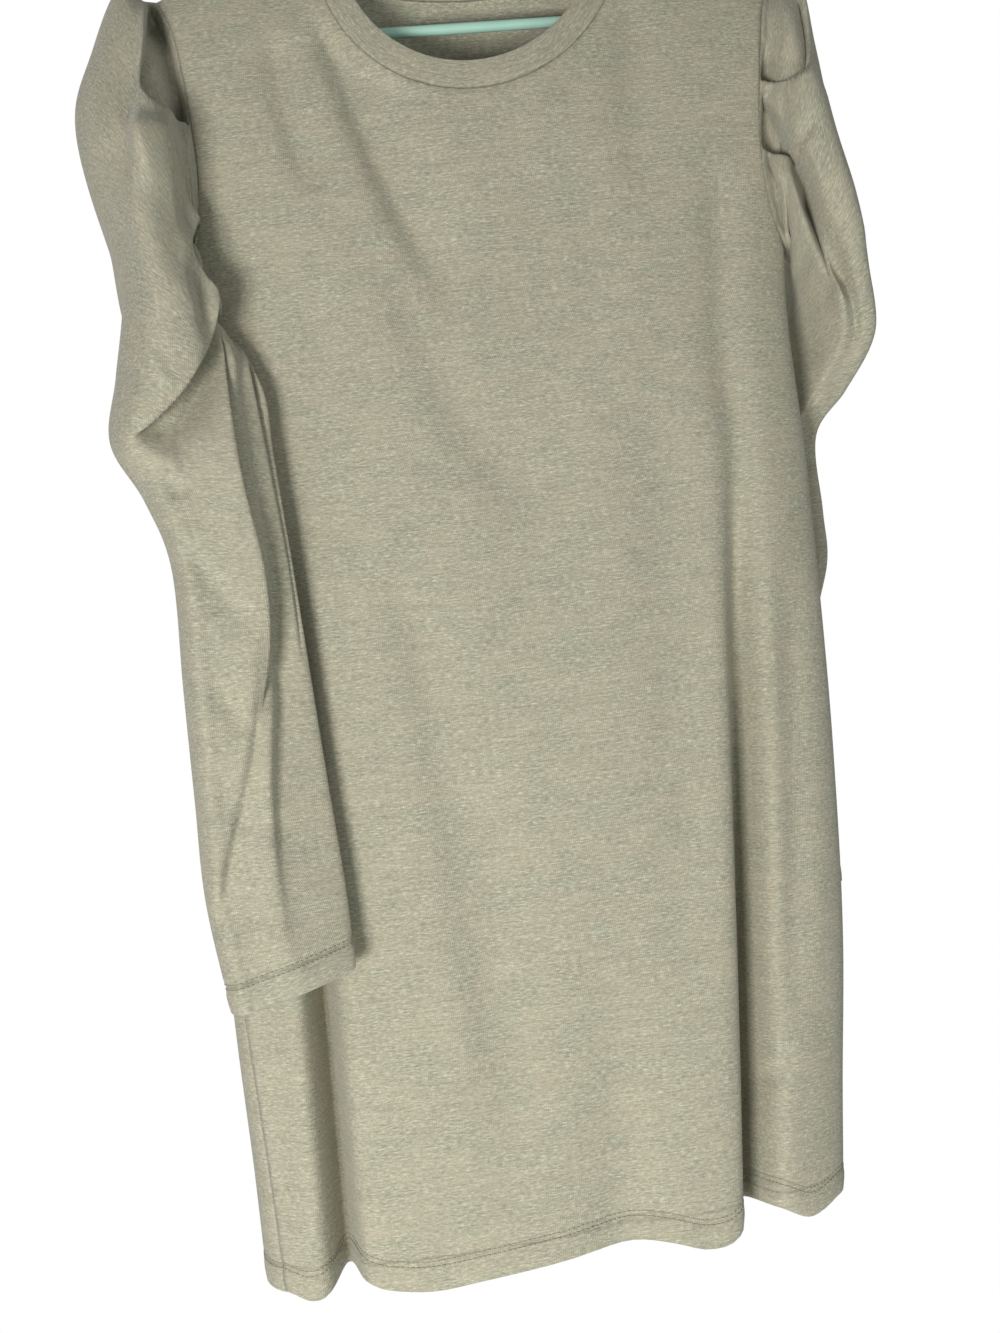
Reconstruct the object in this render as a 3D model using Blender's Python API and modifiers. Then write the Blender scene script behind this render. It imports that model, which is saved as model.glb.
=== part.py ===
"""A fine-knit sweater dress with pleated puff sleeves, hung on a tubular plastic hanger.

The dress is worked out in its own millimetres: x across (to the viewer's right), y from
front (negative) to back, and drop, the distance below the points where the neck meets
the shoulders. The function hang() turns these into metres in the world, where the
origin is the inner top of the hanger's hook.
"""

import math

import bmesh
import bpy
import numpy as np

MM = 0.001

# How it hangs
HANGER_TILT = math.radians(3.3)  # the left end of the hanger is the lower one
SHOULDER_LEVEL = 104.0  # hook's inner top down to the neck points of the shoulders
HANGER_SHIFT = 6.0  # the hanger swings this far to the right below its hook

# Cloth
WALL = 1.6
BAND_WALL = 2.2  # the neckband is the same knit, doubled
SEAM_GAP = 0.3
SHARPEST_BEND = math.radians(115.0)  # at a seam, as far as its gap allows for
CORNER_ROOM = 0.55  # of a wall, by which each edge draws back for every unit of bend
ROUNDNESS = 2.8  # exponent of the tube's rounded cross-section

# Shoulders and neck
SHOULDER_SLOPE = math.tan(math.radians(19.0))
CENTRE_TOP = -3.0
SHOULDER_HALF = 219.0
NECK_HALF = 108.0
NECK_DROP_FRONT = 115.0
NECK_DROP_BACK = 30.0
BAND_WIDTH = 20.0
BAND_HALF = 91.0
NECK_SAG = -6.0  # the low side of the hanger draws the front neck to the left
ARMPIT_DROP = 238.0
HEM_DROP = 913.0
ARCH_AT_NECK = 170.0  # drop over which the cloth curves down from the hanger
ARCH_AT_SLEEVE = 70.0
ROW_EASE = (1.2, 0.7)  # how much closer together rows lie at the top, and more at the sides
EASE_WIDENS = (50.0, 60.0)  # distance from the middle where that begins, and its length

# Half the body's width at the armhole seam
ARMHOLE = {
    "drop": (38.0, 62.0, 94.0, 120.0, 164.0, 198.0, 225.0, ARMPIT_DROP),
    "half": (219.0, 209.0, 203.0, 200.0, 197.0, 200.0, 208.0, 216.0),
}

# The body's rounded tube: a row for each level
BODY_COLUMNS = ("drop", "centre", "half", "front", "back", "left_wrap", "right_wrap")
BODY_ROWS = (
    (0.0, -3.0, 248.0, 27.0, 26.0, 0.0, 0.0),
    (60.0, -3.0, 243.0, 34.0, 31.0, 0.0, 0.0),
    (120.0, -3.0, 233.0, 41.0, 34.0, 0.0, 0.0),
    (180.0, -3.0, 223.0, 48.0, 36.0, 0.0, 0.0),
    (238.0, -3.0, 216.0, 53.0, 37.0, 0.0, 0.0),
    (400.0, 1.0, 219.0, 60.0, 42.0, 5.0, 0.0),
    (600.0, 5.0, 221.0, 66.0, 46.0, 12.0, -2.0),
    (740.0, 7.0, 217.0, 70.0, 48.0, 19.0, -4.0),
    (840.0, 7.0, 210.0, 72.0, 50.0, 22.0, -5.0),
    (913.0, 7.0, 206.0, 72.0, 50.0, 24.0, -6.0),
)

# Folds that run down the body. Depth is towards the inside of the dress, and roll is
# how far the cloth on one side of the fold leans over it.
FOLD_COLUMNS = ("x_top", "x_hem", "starts", "full", "depth", "width", "roll", "roll_side")
ROLL_OFFSET = 1.5  # in fold widths, from the valley to the cloth that leans over it
ROLL_WIDTH = 0.9
FRONT_FOLDS = (
    (-160.0, -142.0, 330.0, 720.0, 44.0, 11.5, -6.0, 1.0),
    (167.0, 141.0, 250.0, 840.0, 50.0, 12.0, 8.0, -1.0),
    (47.0, 42.0, 560.0, 913.0, 10.0, 27.0, 0.0, 1.0),
)
BACK_FOLDS = (
    (-95.0, -110.0, 260.0, 800.0, 20.0, 17.0, 0.0, 1.0),
    (-20.0, -12.0, 420.0, 913.0, 12.0, 24.0, 0.0, 1.0),
    (110.0, 96.0, 240.0, 800.0, 22.0, 16.0, 0.0, 1.0),
)

# Each sleeve's sections, from the armhole to the wrist, in whole millimetres. Outer is
# the edge away from the body, inner the edge towards it and heel the underside behind
# the inner edge. Two pleat edges lie between outer and inner on the front, each at a
# fraction of the way inwards. Behind each one the cloth steps back by its depth.
SLEEVE_COLUMNS = (
    "outer_x", "outer_drop", "outer_y", "inner_x", "inner_drop", "inner_y",
    "heel_x", "heel_drop", "heel_y", "bow", "edge_1", "depth_1", "edge_2", "depth_2",
    "front", "back",
)
SLEEVE_LEFT = (
    (-249, 34, -5, -226, 250, -8, -243, 222, 22, 22, 0.36, 3, 0.68, 3, -52, 30),
    (-268, 72, -10, -218, 262, -22, -250, 238, 18, 27, 0.42, 8, 0.76, 7, -68, 28),
    (-279, 106, -18, -207, 272, -35, -253, 251, 12, 24, 0.47, 10, 0.80, 8, -82, 23),
    (-274, 146, -28, -196, 281, -47, -250, 262, 4, 14, 0.52, 10, 0.82, 8, -91, 14),
    (-261, 188, -38, -185, 290, -56, -243, 273, -5, 6, 0.54, 10, 0.82, 9, -98, 2),
    (-253, 238, -46, -175, 302, -62, -231, 288, -17, 2, 0.53, 11, 0.80, 11, -104, -12),
    (-259, 294, -54, -166, 321, -67, -215, 315, -33, 0, 0.48, 12, 0.77, 12, -107, -27),
    (-264, 338, -62, -161, 352, -69, -198, 350, -47, 0, 0.36, 9, 0.78, 12, -108, -39),
    (-244, 378, -66, -157, 390, -71, -187, 389, -56, 0, 0.30, 5, 0.76, 12, -106, -48),
    (-229, 424, -68, -152, 436, -73, -178, 435, -60, 0, 0.26, 2, 0.74, 12, -105, -52),
    (-226, 503, -70, -145, 506, -76, -172, 506, -63, 0, 0.24, 0, 0.66, 12, -105, -56),
    (-223, 575, -72, -138, 576, -78, -167, 576, -65, 0, 0.22, 0, 0.54, 9, -105, -58),
    (-220, 640, -75, -131, 642, -81, -162, 642, -68, 0, 0.20, 0, 0.50, 4, -104, -62),
    (-208, 712, -81, -128, 694, -86, -155, 701, -73, 0, 0.20, 0, 0.50, 0, -105, -68),
)
SLEEVE_RIGHT = (
    (240, 46, -2, 226, 250, 12, 231, 170, 32, 24, 0.36, 5, 0.68, 3, -46, 34),
    (246, 92, -4, 227, 262, 22, 232, 195, 42, 20, 0.44, 11, 0.72, 8, -56, 40),
    (252, 148, -4, 227, 272, 30, 232, 214, 50, 9, 0.46, 14, 0.72, 12, -58, 46),
    (263, 200, -2, 224, 284, 37, 231, 245, 56, 3, 0.42, 13, 0.66, 12, -54, 52),
    (270, 253, 0, 221, 298, 43, 231, 272, 62, 0, 0.32, 9, 0.54, 10, -46, 58),
    (277, 302, 6, 216, 316, 48, 230, 304, 68, 0, 0.24, 4, 0.46, 4, -28, 63),
    (262, 338, 20, 208, 344, 53, 222, 340, 73, 0, 0.20, 0, 0.46, 0, 0, 68),
    (243, 368, 36, 199, 374, 57, 212, 370, 78, 0, 0.20, 0, 0.48, 0, 24, 74),
    (248, 424, 44, 187, 426, 62, 206, 424, 84, 0, 0.20, 0, 0.48, 0, 34, 80),
    (251, 462, 49, 179, 472, 66, 202, 468, 88, 0, 0.20, 0, 0.48, 0, 40, 84),
    (241, 508, 54, 172, 522, 69, 194, 515, 91, 0, 0.20, 0, 0.48, 0, 46, 88),
    (238, 568, 58, 167, 582, 72, 190, 575, 94, 0, 0.20, 0, 0.48, 0, 50, 91),
    (245, 638, 62, 164, 646, 75, 190, 642, 97, 0, 0.20, 0, 0.48, 0, 54, 94),
    (253, 708, 66, 161, 708, 77, 192, 708, 99, 0, 0.20, 0, 0.48, 0, 57, 97),
)
LEDGE_SHARE = 0.08  # how far behind its edge a sleeve's layer steps back
VALLEY_SHARE = 0.45  # of a step's depth by which its foot lies deeper still
UNDERARM_BULGE = 3.0  # of the cloth between the inner edge and the heel
SEAM_LEAD = 9.0  # a sleeve leaves its seam this far before it turns to its puff
ARMPIT_EASE_TOP = 150.0  # below this drop the seam's gap widens to twice its size
LEAD_OUTWARD = 2.0  # how much more it leads outwards than towards the next section
BODY_CLEARANCE = 5.0  # between a sleeve and the body panel that it lies along
YOKE_CLEARANCE_END = 20.0  # drop below the armpit to which a sleeve clears both panels

# Mesh density
SPREAD_SAMPLES = 400
FOLD_REACH = 1.7  # in fold widths, where columns lie closer together
FOLD_GAIN = 0.06  # of that closeness, for each millimetre of a fold's depth
SHOULDER_CROWDING = 1.6  # exponent that brings the neck's columns together at its ends
SHOULDER_STEPS = 5
NECK_STEPS = 20
YOKE_STEPS = 9
SKIRT_STEPS = 15
SLEEVE_SPAN_STEPS = 3
SPANS_ROUND_END = 3  # points that a closed curve repeats beyond its two ends
FRONT_CUTS = (1, 1, 1, 1, 2, 2, 3, 3, 4)  # sleeve's steps in each step of an armhole
BACK_CUTS = (3, 2, 1, 1, 1, 1, 1, 1, 1)
SLEEVE_STEPS = 23
BAND_STEPS = 3

# Hanger
TUBE_RADIUS = 3.75
ARM_BELOW_CLOTH = 5.4
BAR_DROP = 58.0
ARM_HALF = 206.0
APEX_HALF = 6.0  # half the width of the rounded top where the arms meet
END_SHARE = 0.45  # of the arm's slope that shortens the round end
END_STEPS = 8
HOOK_RADIUS = 18.0
HOOK_NECK = 14.0  # length of the straight piece above the arms
HOOK_DEGREES = (-50, 201, 12)  # where its bend starts, stops and how far each step turns
TUBE_SIDES_RESOLUTION = 3
WELD = 1e-5

# Finishes, as linear RGB
KNIT_COLOUR = (0.44, 0.42, 0.30)
KNIT_ROUGHNESS = 0.95
PLASTIC_COLOUR = (0.45, 0.70, 0.58)
PLASTIC_ROUGHNESS = 0.35


def hang(points):
    """Turns the dress's millimetres (x, y, drop) into metres in the world."""
    across = points[..., 0]
    placed = np.empty(points.shape)
    placed[..., 0] = across + HANGER_SHIFT
    placed[..., 1] = points[..., 1]
    placed[..., 2] = across * math.tan(HANGER_TILT) - points[..., 2] - SHOULDER_LEVEL
    return placed * MM


def smooth(value):
    """An even step from 0 to 1."""
    value = np.clip(value, 0.0, 1.0)
    return value * value * (3.0 - 2.0 * value)


def bell(value):
    """1 at zero, falling evenly to either side."""
    return np.exp(-value * value)


def through(keys, values, at):
    """Reads a smooth curve that runs through the values at the keys."""
    keys = np.asarray(keys, dtype=float)
    values = np.asarray(values, dtype=float)
    at = np.clip(at, keys[0], keys[-1])
    slopes = np.gradient(values, keys, axis=0)
    place = np.clip(np.searchsorted(keys, at, side="right") - 1, 0, len(keys) - 2)
    width = keys[place + 1] - keys[place]
    part = (at - keys[place]) / width
    if values.ndim > 1:
        extra = (1,) * (values.ndim - 1)
        part = part.reshape(part.shape + extra)
        width = width.reshape(width.shape + extra)
    rise = part * part * (3.0 - 2.0 * part)
    return (
        values[place] * (1.0 - rise)
        + values[place + 1] * rise
        + slopes[place] * width * part * (1.0 - part) ** 2
        - slopes[place + 1] * width * part * part * (1.0 - part)
    )


def body(column, drop):
    """One column of the body's table at a drop."""
    place = BODY_COLUMNS.index(column)
    return through([row[0] for row in BODY_ROWS], [row[place] for row in BODY_ROWS], drop)


def armhole_half(drop):
    """Half the body's width at the armhole seam."""
    return through(ARMHOLE["drop"], ARMHOLE["half"], drop)


def shoulder_line(x):
    """Drop of the line along the top of the hanger's arms, continued over the neck."""
    return (np.abs(x - CENTRE_TOP) - NECK_HALF) * SHOULDER_SLOPE


def arch(x, drop):
    """How far the cloth has curved down from the hanger: 0 on top of it, 1 below."""
    from_neck = (np.abs(x - CENTRE_TOP) - NECK_HALF) / (SHOULDER_HALF - NECK_HALF)
    length = ARCH_AT_NECK + (ARCH_AT_SLEEVE - ARCH_AT_NECK) * smooth(from_neck)
    fallen = np.clip((drop - shoulder_line(x)) / length, 0.0, 1.0)
    return np.sqrt(1.0 - (1.0 - fallen) ** 2)


def fold_columns(folds):
    """The fold table as one named array for each column."""
    return [dict(zip(FOLD_COLUMNS, row)) for row in folds]


def fold_centre(fold, drop):
    """Where a fold's valley lies across the body."""
    down = np.clip((drop - fold["starts"]) / (HEM_DROP - fold["starts"]), 0.0, 1.0)
    return fold["x_top"] + (fold["x_hem"] - fold["x_top"]) * down


def folded(x, drop, folds):
    """Sideways and inward shifts that the folds make at a point of a panel."""
    aside = np.zeros_like(x)
    inward = np.zeros_like(x)
    for fold in fold_columns(folds):
        strength = smooth((drop - fold["starts"]) / (fold["full"] - fold["starts"]))
        offset = (x - fold_centre(fold, drop)) / fold["width"]
        inward += strength * fold["depth"] * bell(offset)
        leaning = (offset - ROLL_OFFSET * fold["roll_side"]) / ROLL_WIDTH
        aside += strength * fold["roll"] * bell(leaning)
    return aside, inward


def panel_y(x, drop, facing):
    """Depth of the front (facing -1) or back (+1) panel at a place seen from the front."""
    across = np.clip(np.abs(x - body("centre", drop)) / body("half", drop), 0.0, 1.0)
    depth = np.where(facing < 0, body("front", drop), body("back", drop))
    rounded = (1.0 - across**ROUNDNESS) ** (1.0 / ROUNDNESS)
    return facing * depth * rounded * arch(x, drop)


def lay(x, drop, facing):
    """Points of a panel with its folds, from their places seen from the front."""
    front_aside, front_inward = folded(x, drop, FRONT_FOLDS)
    back_aside, back_inward = folded(x, drop, BACK_FOLDS)
    aside = np.where(facing < 0, front_aside, back_aside)
    inward = np.where(facing < 0, front_inward, -back_inward)
    return np.stack([x + aside, panel_y(x, drop, facing) + inward, drop], axis=-1)


def spread(low, high, drop, count, folds):
    """Angles from low to high round the tube, closer together where a fold is."""
    samples = np.linspace(low, high, SPREAD_SAMPLES)
    x = body("centre", drop) + body("half", drop) * signed_power(np.sin(samples))
    density = np.ones_like(samples)
    for fold in fold_columns(folds):
        strength = smooth((drop - fold["starts"]) / (fold["full"] - fold["starts"]))
        reach = FOLD_REACH * fold["width"]
        gain = FOLD_GAIN * fold["depth"]
        density += gain * strength * bell((x - fold_centre(fold, drop)) / reach)
    total = np.cumsum(density)
    total = (total - total[0]) / (total[-1] - total[0])
    return np.interp(np.linspace(0.0, 1.0, count + 1), total, samples)


def signed_power(value):
    """A sine or cosine bent to the tube's rounded cross-section."""
    return np.sign(value) * np.abs(value) ** (2.0 / ROUNDNESS)


def neck_curve(turn, half, front_drop, back_drop, lift, facing):
    """A ring round the neck, by turn from the left shoulder (-90) to the right (90)."""
    lowest = np.where(facing < 0, front_drop, back_drop)
    sag = np.where(facing < 0, NECK_SAG, 0.0)
    x = CENTRE_TOP + half * np.sin(turn) + sag * np.cos(turn)
    drop = lift + (lowest - lift) * np.cos(turn)
    return x, drop


def neck_seam(turn, facing):
    """The seam between the neckband and a panel."""
    return neck_curve(turn, NECK_HALF, NECK_DROP_FRONT, NECK_DROP_BACK, 0.0, facing)


def neck_edge(turn, facing):
    """The neckband's free edge."""
    lift = (BAND_HALF - NECK_HALF) * SHOULDER_SLOPE
    front_drop = NECK_DROP_FRONT - BAND_WIDTH
    back_drop = NECK_DROP_BACK - BAND_WIDTH
    return neck_curve(turn, BAND_HALF, front_drop, back_drop, lift, facing)


def neck_turns(steps):
    """Turns from the left shoulder to the right, closer together at the shoulders."""
    part = np.linspace(-1.0, 1.0, steps + 1)
    return np.sign(part) * 0.5 * math.pi * (1.0 - (1.0 - np.abs(part)) ** SHOULDER_CROWDING)


def panel_points(facing, folds, shoulder, neck, yoke, skirt):
    """A panel as rows of points from its top edge to its hem, left to right."""
    turns = neck_turns(neck)
    neck_x, neck_drop = neck_seam(turns, facing)
    out = np.linspace(1.0, 0.0, shoulder + 1)[:-1]
    left_x = CENTRE_TOP - NECK_HALF - out * (SHOULDER_HALF - NECK_HALF)
    right_x = CENTRE_TOP + NECK_HALF + out[::-1] * (SHOULDER_HALF - NECK_HALF)
    top_x = np.concatenate([left_x, neck_x, right_x])
    top_drop = np.concatenate([shoulder_line(left_x), neck_drop, shoulder_line(right_x)])
    columns = len(top_x) - 1
    top_share = (top_x - CENTRE_TOP) / armhole_half(top_drop)
    angles = spread(-math.pi / 2, math.pi / 2, ARMPIT_DROP, columns, folds)
    low_share = signed_power(np.sin(angles))
    begins, length = EASE_WIDENS
    ease = ROW_EASE[0] + ROW_EASE[1] * smooth((np.abs(top_x - CENTRE_TOP) - begins) / length)
    rows = []
    for step in range(yoke + 1):
        part = step / yoke
        drop = top_drop + (ARMPIT_DROP - top_drop) * part**ease
        share = top_share + (low_share - top_share) * smooth(part)
        x = CENTRE_TOP + share * armhole_half(drop)
        rows.append(lay(x, drop, facing))
    for step in range(1, skirt + 1):
        drop = ARMPIT_DROP + (HEM_DROP - ARMPIT_DROP) * step / skirt
        rows.append(skirt_row(drop, facing, folds, columns))
    return np.array(rows)


def skirt_row(level, facing, folds, columns):
    """One level row of a panel below the armpits, from its left seam to its right."""
    left = math.pi / 2 + facing * math.radians(body("left_wrap", level))
    right = math.pi / 2 + facing * math.radians(body("right_wrap", level))
    angles = spread(-left, right, level, columns, folds)
    side = np.where(np.cos(angles) >= 0.0, facing, -facing)
    x = body("centre", level) + body("half", level) * signed_power(np.sin(angles))
    return lay(x, np.full(x.shape, level), side)


def band_points(steps_round, steps_up):
    """The neckband as rings of points, from its seam to its free edge."""
    turns = neck_turns(steps_round)
    rings = []
    for step in range(steps_up + 1):
        part = step / steps_up
        halves = []
        for facing in (-1.0, 1.0):
            seam_x, seam_drop = neck_seam(turns, facing)
            edge_x, edge_drop = neck_edge(turns, facing)
            x = seam_x + (edge_x - seam_x) * part
            drop = seam_drop + (edge_drop - seam_drop) * part
            halves.append(lay(x, drop, facing))
        rings.append(np.concatenate([halves[0][:-1], halves[1][::-1][:-1]]))
    return np.array(rings)


def ring_controls(row, side):
    """The points that a sleeve's section passes through, from a row of its table."""
    size = dict(zip(SLEEVE_COLUMNS, row))
    outer = np.array([size["outer_x"], size["outer_y"], size["outer_drop"]], dtype=float)
    inner = np.array([size["inner_x"], size["inner_y"], size["inner_drop"]], dtype=float)
    heel = np.array([size["heel_x"], size["heel_y"], size["heel_drop"]], dtype=float)

    def on_face(share, y):
        point = outer + (inner - outer) * share
        point[0] -= side * size["bow"] * 4.0 * share * (1.0 - share)
        point[1] = y
        return point

    y = size["front"]
    points = [outer, on_face(size["edge_1"] * 0.5, y)]
    for edge, depth in (("edge_1", "depth_1"), ("edge_2", "depth_2")):
        points.append(on_face(size[edge], y))
        y += size[depth]
        points.append(on_face(size[edge] + LEDGE_SHARE, y + VALLEY_SHARE * size[depth]))
    under = 0.5 * (inner + heel)
    under[1] += UNDERARM_BULGE
    behind = 0.5 * (outer + heel)
    behind[1] = size["back"]
    points.extend([inner, under, heel, behind])
    return np.array(points)


def closed_curve(points, steps):
    """A smooth closed curve through the points, with equal steps between them."""
    count = len(points)
    after = np.roll(points, -1, axis=0)
    lengths = np.sqrt(np.linalg.norm(after - points, axis=1))
    keys = np.concatenate([[0.0], np.cumsum(lengths)])
    before = keys[-SPANS_ROUND_END - 1:-1] - keys[-1]
    beyond = keys[1:SPANS_ROUND_END + 1] + keys[-1]
    order = np.arange(-SPANS_ROUND_END, count + SPANS_ROUND_END + 1) % count
    at = np.interp(np.arange(count * steps) / steps, np.arange(count + 1), keys)
    return through(np.concatenate([before, keys, beyond]), points[order], at)


def clear_of_body(points, facing):
    """Moves a sleeve's points off the panel that they lie along, on the facing side."""
    x = points[..., 0]
    y = points[..., 1]
    drop = points[..., 2]
    beside_yoke = drop < ARMPIT_DROP + YOKE_CLEARANCE_END
    side = np.where(beside_yoke, np.sign(y), facing)
    panel = lay(x, drop, side)[..., 1]
    half = np.where(drop < ARMPIT_DROP, armhole_half(drop), body("half", drop))
    inside = np.abs(x - body("centre", drop)) < half
    limit = panel + side * BODY_CLEARANCE
    wrong = inside & (side * (y - limit) < 0.0)
    cleared = points.copy()
    cleared[..., 1] = np.where(wrong, limit, y)
    return cleared


def armhole_loop(front_edge, back_edge):
    """Points round an armhole, down its front edge and up its back edge."""
    down = cut_segments(front_edge, FRONT_CUTS)
    up = cut_segments(back_edge[::-1], BACK_CUTS)
    return np.concatenate([down, up])


def cut_segments(line, cuts):
    """A line's points, with each segment cut into equal steps, without its last point."""
    points = []
    for start, end, steps in zip(line[:-1], line[1:], cuts):
        for cut in range(steps):
            points.append(start + (end - start) * cut / steps)
    return np.array(points)


def sleeve_points(table, side, loop, span_steps, steps):
    """A sleeve as rings of points from the armhole to the wrist."""
    rings = [closed_curve(ring_controls(row, side), span_steps) for row in table]
    outward = np.array([side, 0.0, 0.0])
    lead = unit(LEAD_OUTWARD * outward + unit(rings[0] - loop))
    rings = np.array([loop, loop + SEAM_LEAD * lead] + rings)
    keys = np.arange(len(rings), dtype=float)
    points = through(keys, rings, np.linspace(0.0, keys[-1], steps + 1))
    points[2:] = clear_of_body(points[2:], side)
    return points


def unit(vectors):
    """The vectors at length 1."""
    return vectors / np.maximum(np.linalg.norm(vectors, axis=-1, keepdims=True), 1e-9)


def seam_shifts(edge, first_inside, second_inside, wall):
    """How far each of two pieces draws back from a shared edge, so that they don't touch.

    A flat seam opens by the gap alone. The sharper the bend, the further the edges part,
    so that the corners of the two walls stay clear of each other.
    """
    first = unit(first_inside - edge)
    second = unit(second_inside - edge)
    bend = np.arccos(np.clip(-(first * second).sum(axis=-1, keepdims=True), -1.0, 1.0))
    bend = np.minimum(bend, SHARPEST_BEND)
    shift = 0.5 * SEAM_GAP + CORNER_ROOM * wall * np.tan(0.5 * bend)
    return first * shift, second * shift


def open_seams(front, back, sleeves, band):
    """Draws every piece back from its seams."""
    moves = [np.zeros_like(points) for points in (front, back, sleeves[0], sleeves[1], band)]
    front_move, back_move, left_move, right_move, band_move = moves

    for column in (0, -1):
        inside = 1 if column == 0 else -2
        rows = slice(YOKE_STEPS, None)
        shift_front, shift_back = seam_shifts(
            front[rows, column], front[rows, inside], back[rows, inside], WALL
        )
        front_move[rows, column] += shift_front
        back_move[rows, column] += shift_back

    last = front.shape[1]
    for columns in (slice(0, SHOULDER_STEPS + 1), slice(last - SHOULDER_STEPS - 1, last)):
        shift_front, shift_back = seam_shifts(
            front[0, columns], front[1, columns], back[1, columns], WALL
        )
        front_move[0, columns] += shift_front
        back_move[0, columns] += shift_back

    neck = slice(SHOULDER_STEPS, SHOULDER_STEPS + NECK_STEPS + 1)
    half = NECK_STEPS
    ring = np.arange(2 * half)
    for panel, move, places in (
        (front, front_move, ring[:half + 1]),
        (back, back_move, np.concatenate([[0], ring[:half - 1:-1]])),
    ):
        shift_panel, shift_band = seam_shifts(
            panel[0, neck], panel[1, neck], band[1, places], BAND_WALL
        )
        move[0, neck] += shift_panel
        band_move[0, places] += shift_band

    for column, sleeve, sleeve_move in ((0, sleeves[0], left_move), (-1, sleeves[1], right_move)):
        inside = 1 if column == 0 else -2
        loop_inside = armhole_loop(
            front[:YOKE_STEPS + 1, inside], back[:YOKE_STEPS + 1, inside]
        )
        shift_body, shift_sleeve = seam_shifts(sleeve[0], loop_inside, sleeve[1], WALL)
        towards_armpit = (sleeve[0, :, 2:] - ARMPIT_EASE_TOP) / (ARMPIT_DROP - ARMPIT_EASE_TOP)
        sleeve_move[0] += shift_sleeve * (1.0 + smooth(towards_armpit))
        down = np.concatenate([[0], np.cumsum(FRONT_CUTS)])
        up = np.concatenate([down[-1:], down[-1] + np.cumsum(BACK_CUTS)]) % len(sleeve[0])
        front_move[:YOKE_STEPS + 1, column] += shift_body[down]
        back_move[:YOKE_STEPS + 1, column] += shift_body[up][::-1]

    return [points + move for points, move in zip((front, back, *sleeves, band), moves)]


def grid_faces(rows, columns, closed):
    """Quads over rows of points, round a ring when closed."""
    faces = []
    for row in range(rows - 1):
        for column in range(columns if closed else columns - 1):
            following = (column + 1) % columns
            here = row * columns
            above = here + columns
            faces.append((here + column, here + following, above + following, above + column))
    return faces


def cloth_object(name, points, closed, wall, material):
    """A sheet of cloth through rows of points, with its wall's thickness."""
    rows, columns = points.shape[:2]
    mesh = bpy.data.meshes.new(name)
    mesh.from_pydata(hang(points).reshape(-1, 3).tolist(), [], grid_faces(rows, columns, closed))
    mesh.shade_smooth()
    mesh.materials.append(material)
    piece = bpy.data.objects.new(name, mesh)
    solid = piece.modifiers.new("wall", "SOLIDIFY")
    solid.thickness = wall * MM
    solid.offset = 0.0
    return piece


def plain_material(name, colour, roughness):
    """A Principled material with a colour given as linear RGB."""
    material = bpy.data.materials.new(name)
    material.use_nodes = True
    shader = material.node_tree.nodes["Principled BSDF"]
    shader.inputs["Base Color"].default_value = (*colour, 1.0)
    shader.inputs["Roughness"].default_value = roughness
    shader.inputs["Metallic"].default_value = 0.0
    material.diffuse_color = (*colour, 1.0)
    return material


def arm_centre(x):
    """Drop of the middle of the hanger's arm."""
    return shoulder_line(x) + ARM_BELOW_CLOTH / math.cos(math.atan(SHOULDER_SLOPE))


def tube_curve(name, points, cyclic):
    """A round tube along a line of points in the dress's millimetres."""
    curve = bpy.data.curves.new(name, "CURVE")
    curve.dimensions = "3D"
    curve.bevel_depth = TUBE_RADIUS * MM
    curve.bevel_resolution = TUBE_SIDES_RESOLUTION
    curve.use_fill_caps = not cyclic
    line = curve.splines.new("POLY")
    line.use_cyclic_u = cyclic
    line.points.add(len(points) - 1)
    for point, place in zip(line.points, hang(np.array(points, dtype=float))):
        point.co = (*place, 1.0)
    return bpy.data.objects.new(name, curve)


def hanger_frame_points():
    """The closed line of the hanger's two arms, its round ends and its bar."""
    slope = math.atan(SHOULDER_SLOPE)
    points = []
    for side in (1, -1):
        end_drop_gap = BAR_DROP - arm_centre(CENTRE_TOP + side * ARM_HALF)
        turn_radius = 0.5 * end_drop_gap / (1.0 - END_SHARE * math.sin(slope))
        centre_x = ARM_HALF - turn_radius
        centre_drop = BAR_DROP - turn_radius
        start = math.pi / 2 - slope
        arc = []
        for step in range(END_STEPS + 1):
            angle = start - (start + math.pi / 2) * step / END_STEPS
            across = centre_x + turn_radius * math.cos(angle)
            drop = centre_drop - turn_radius * math.sin(angle)
            arc.append((CENTRE_TOP + side * across, 0.0, drop))
        points.append(arc)
    right, left = points
    apex = (CENTRE_TOP, 0.0, arm_centre(CENTRE_TOP + APEX_HALF))
    return [apex] + right + left[::-1]


def hook_points():
    """The line of the hook, from the top of the arms round to its tip."""
    centre_drop = -SHOULDER_LEVEL + HOOK_RADIUS
    bend = HOOK_RADIUS + TUBE_RADIUS
    foot_drop = arm_centre(CENTRE_TOP)
    line = [(CENTRE_TOP, 0.0, foot_drop), (CENTRE_TOP, 0.0, foot_drop - HOOK_NECK)]
    hook_x = -HANGER_SHIFT
    for degrees in range(*HOOK_DEGREES):
        angle = math.radians(degrees)
        line.append((hook_x + bend * math.cos(angle), 0.0, centre_drop - bend * math.sin(angle)))
    return line


def mesh_copy(source, material):
    """A plain mesh object from a curve object, with its caps welded."""
    bpy.context.collection.objects.link(source)
    bpy.context.view_layer.update()
    evaluated = source.evaluated_get(bpy.context.evaluated_depsgraph_get())
    mesh = bpy.data.meshes.new_from_object(evaluated)
    work = bmesh.new()
    work.from_mesh(mesh)
    bmesh.ops.remove_doubles(work, verts=work.verts, dist=WELD)
    work.to_mesh(mesh)
    work.free()
    mesh.materials.clear()
    mesh.materials.append(material)
    placed = source.matrix_world.copy()
    name = source.name
    bpy.data.objects.remove(source)
    copy = bpy.data.objects.new(name, mesh)
    copy.matrix_world = placed
    return copy


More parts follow.
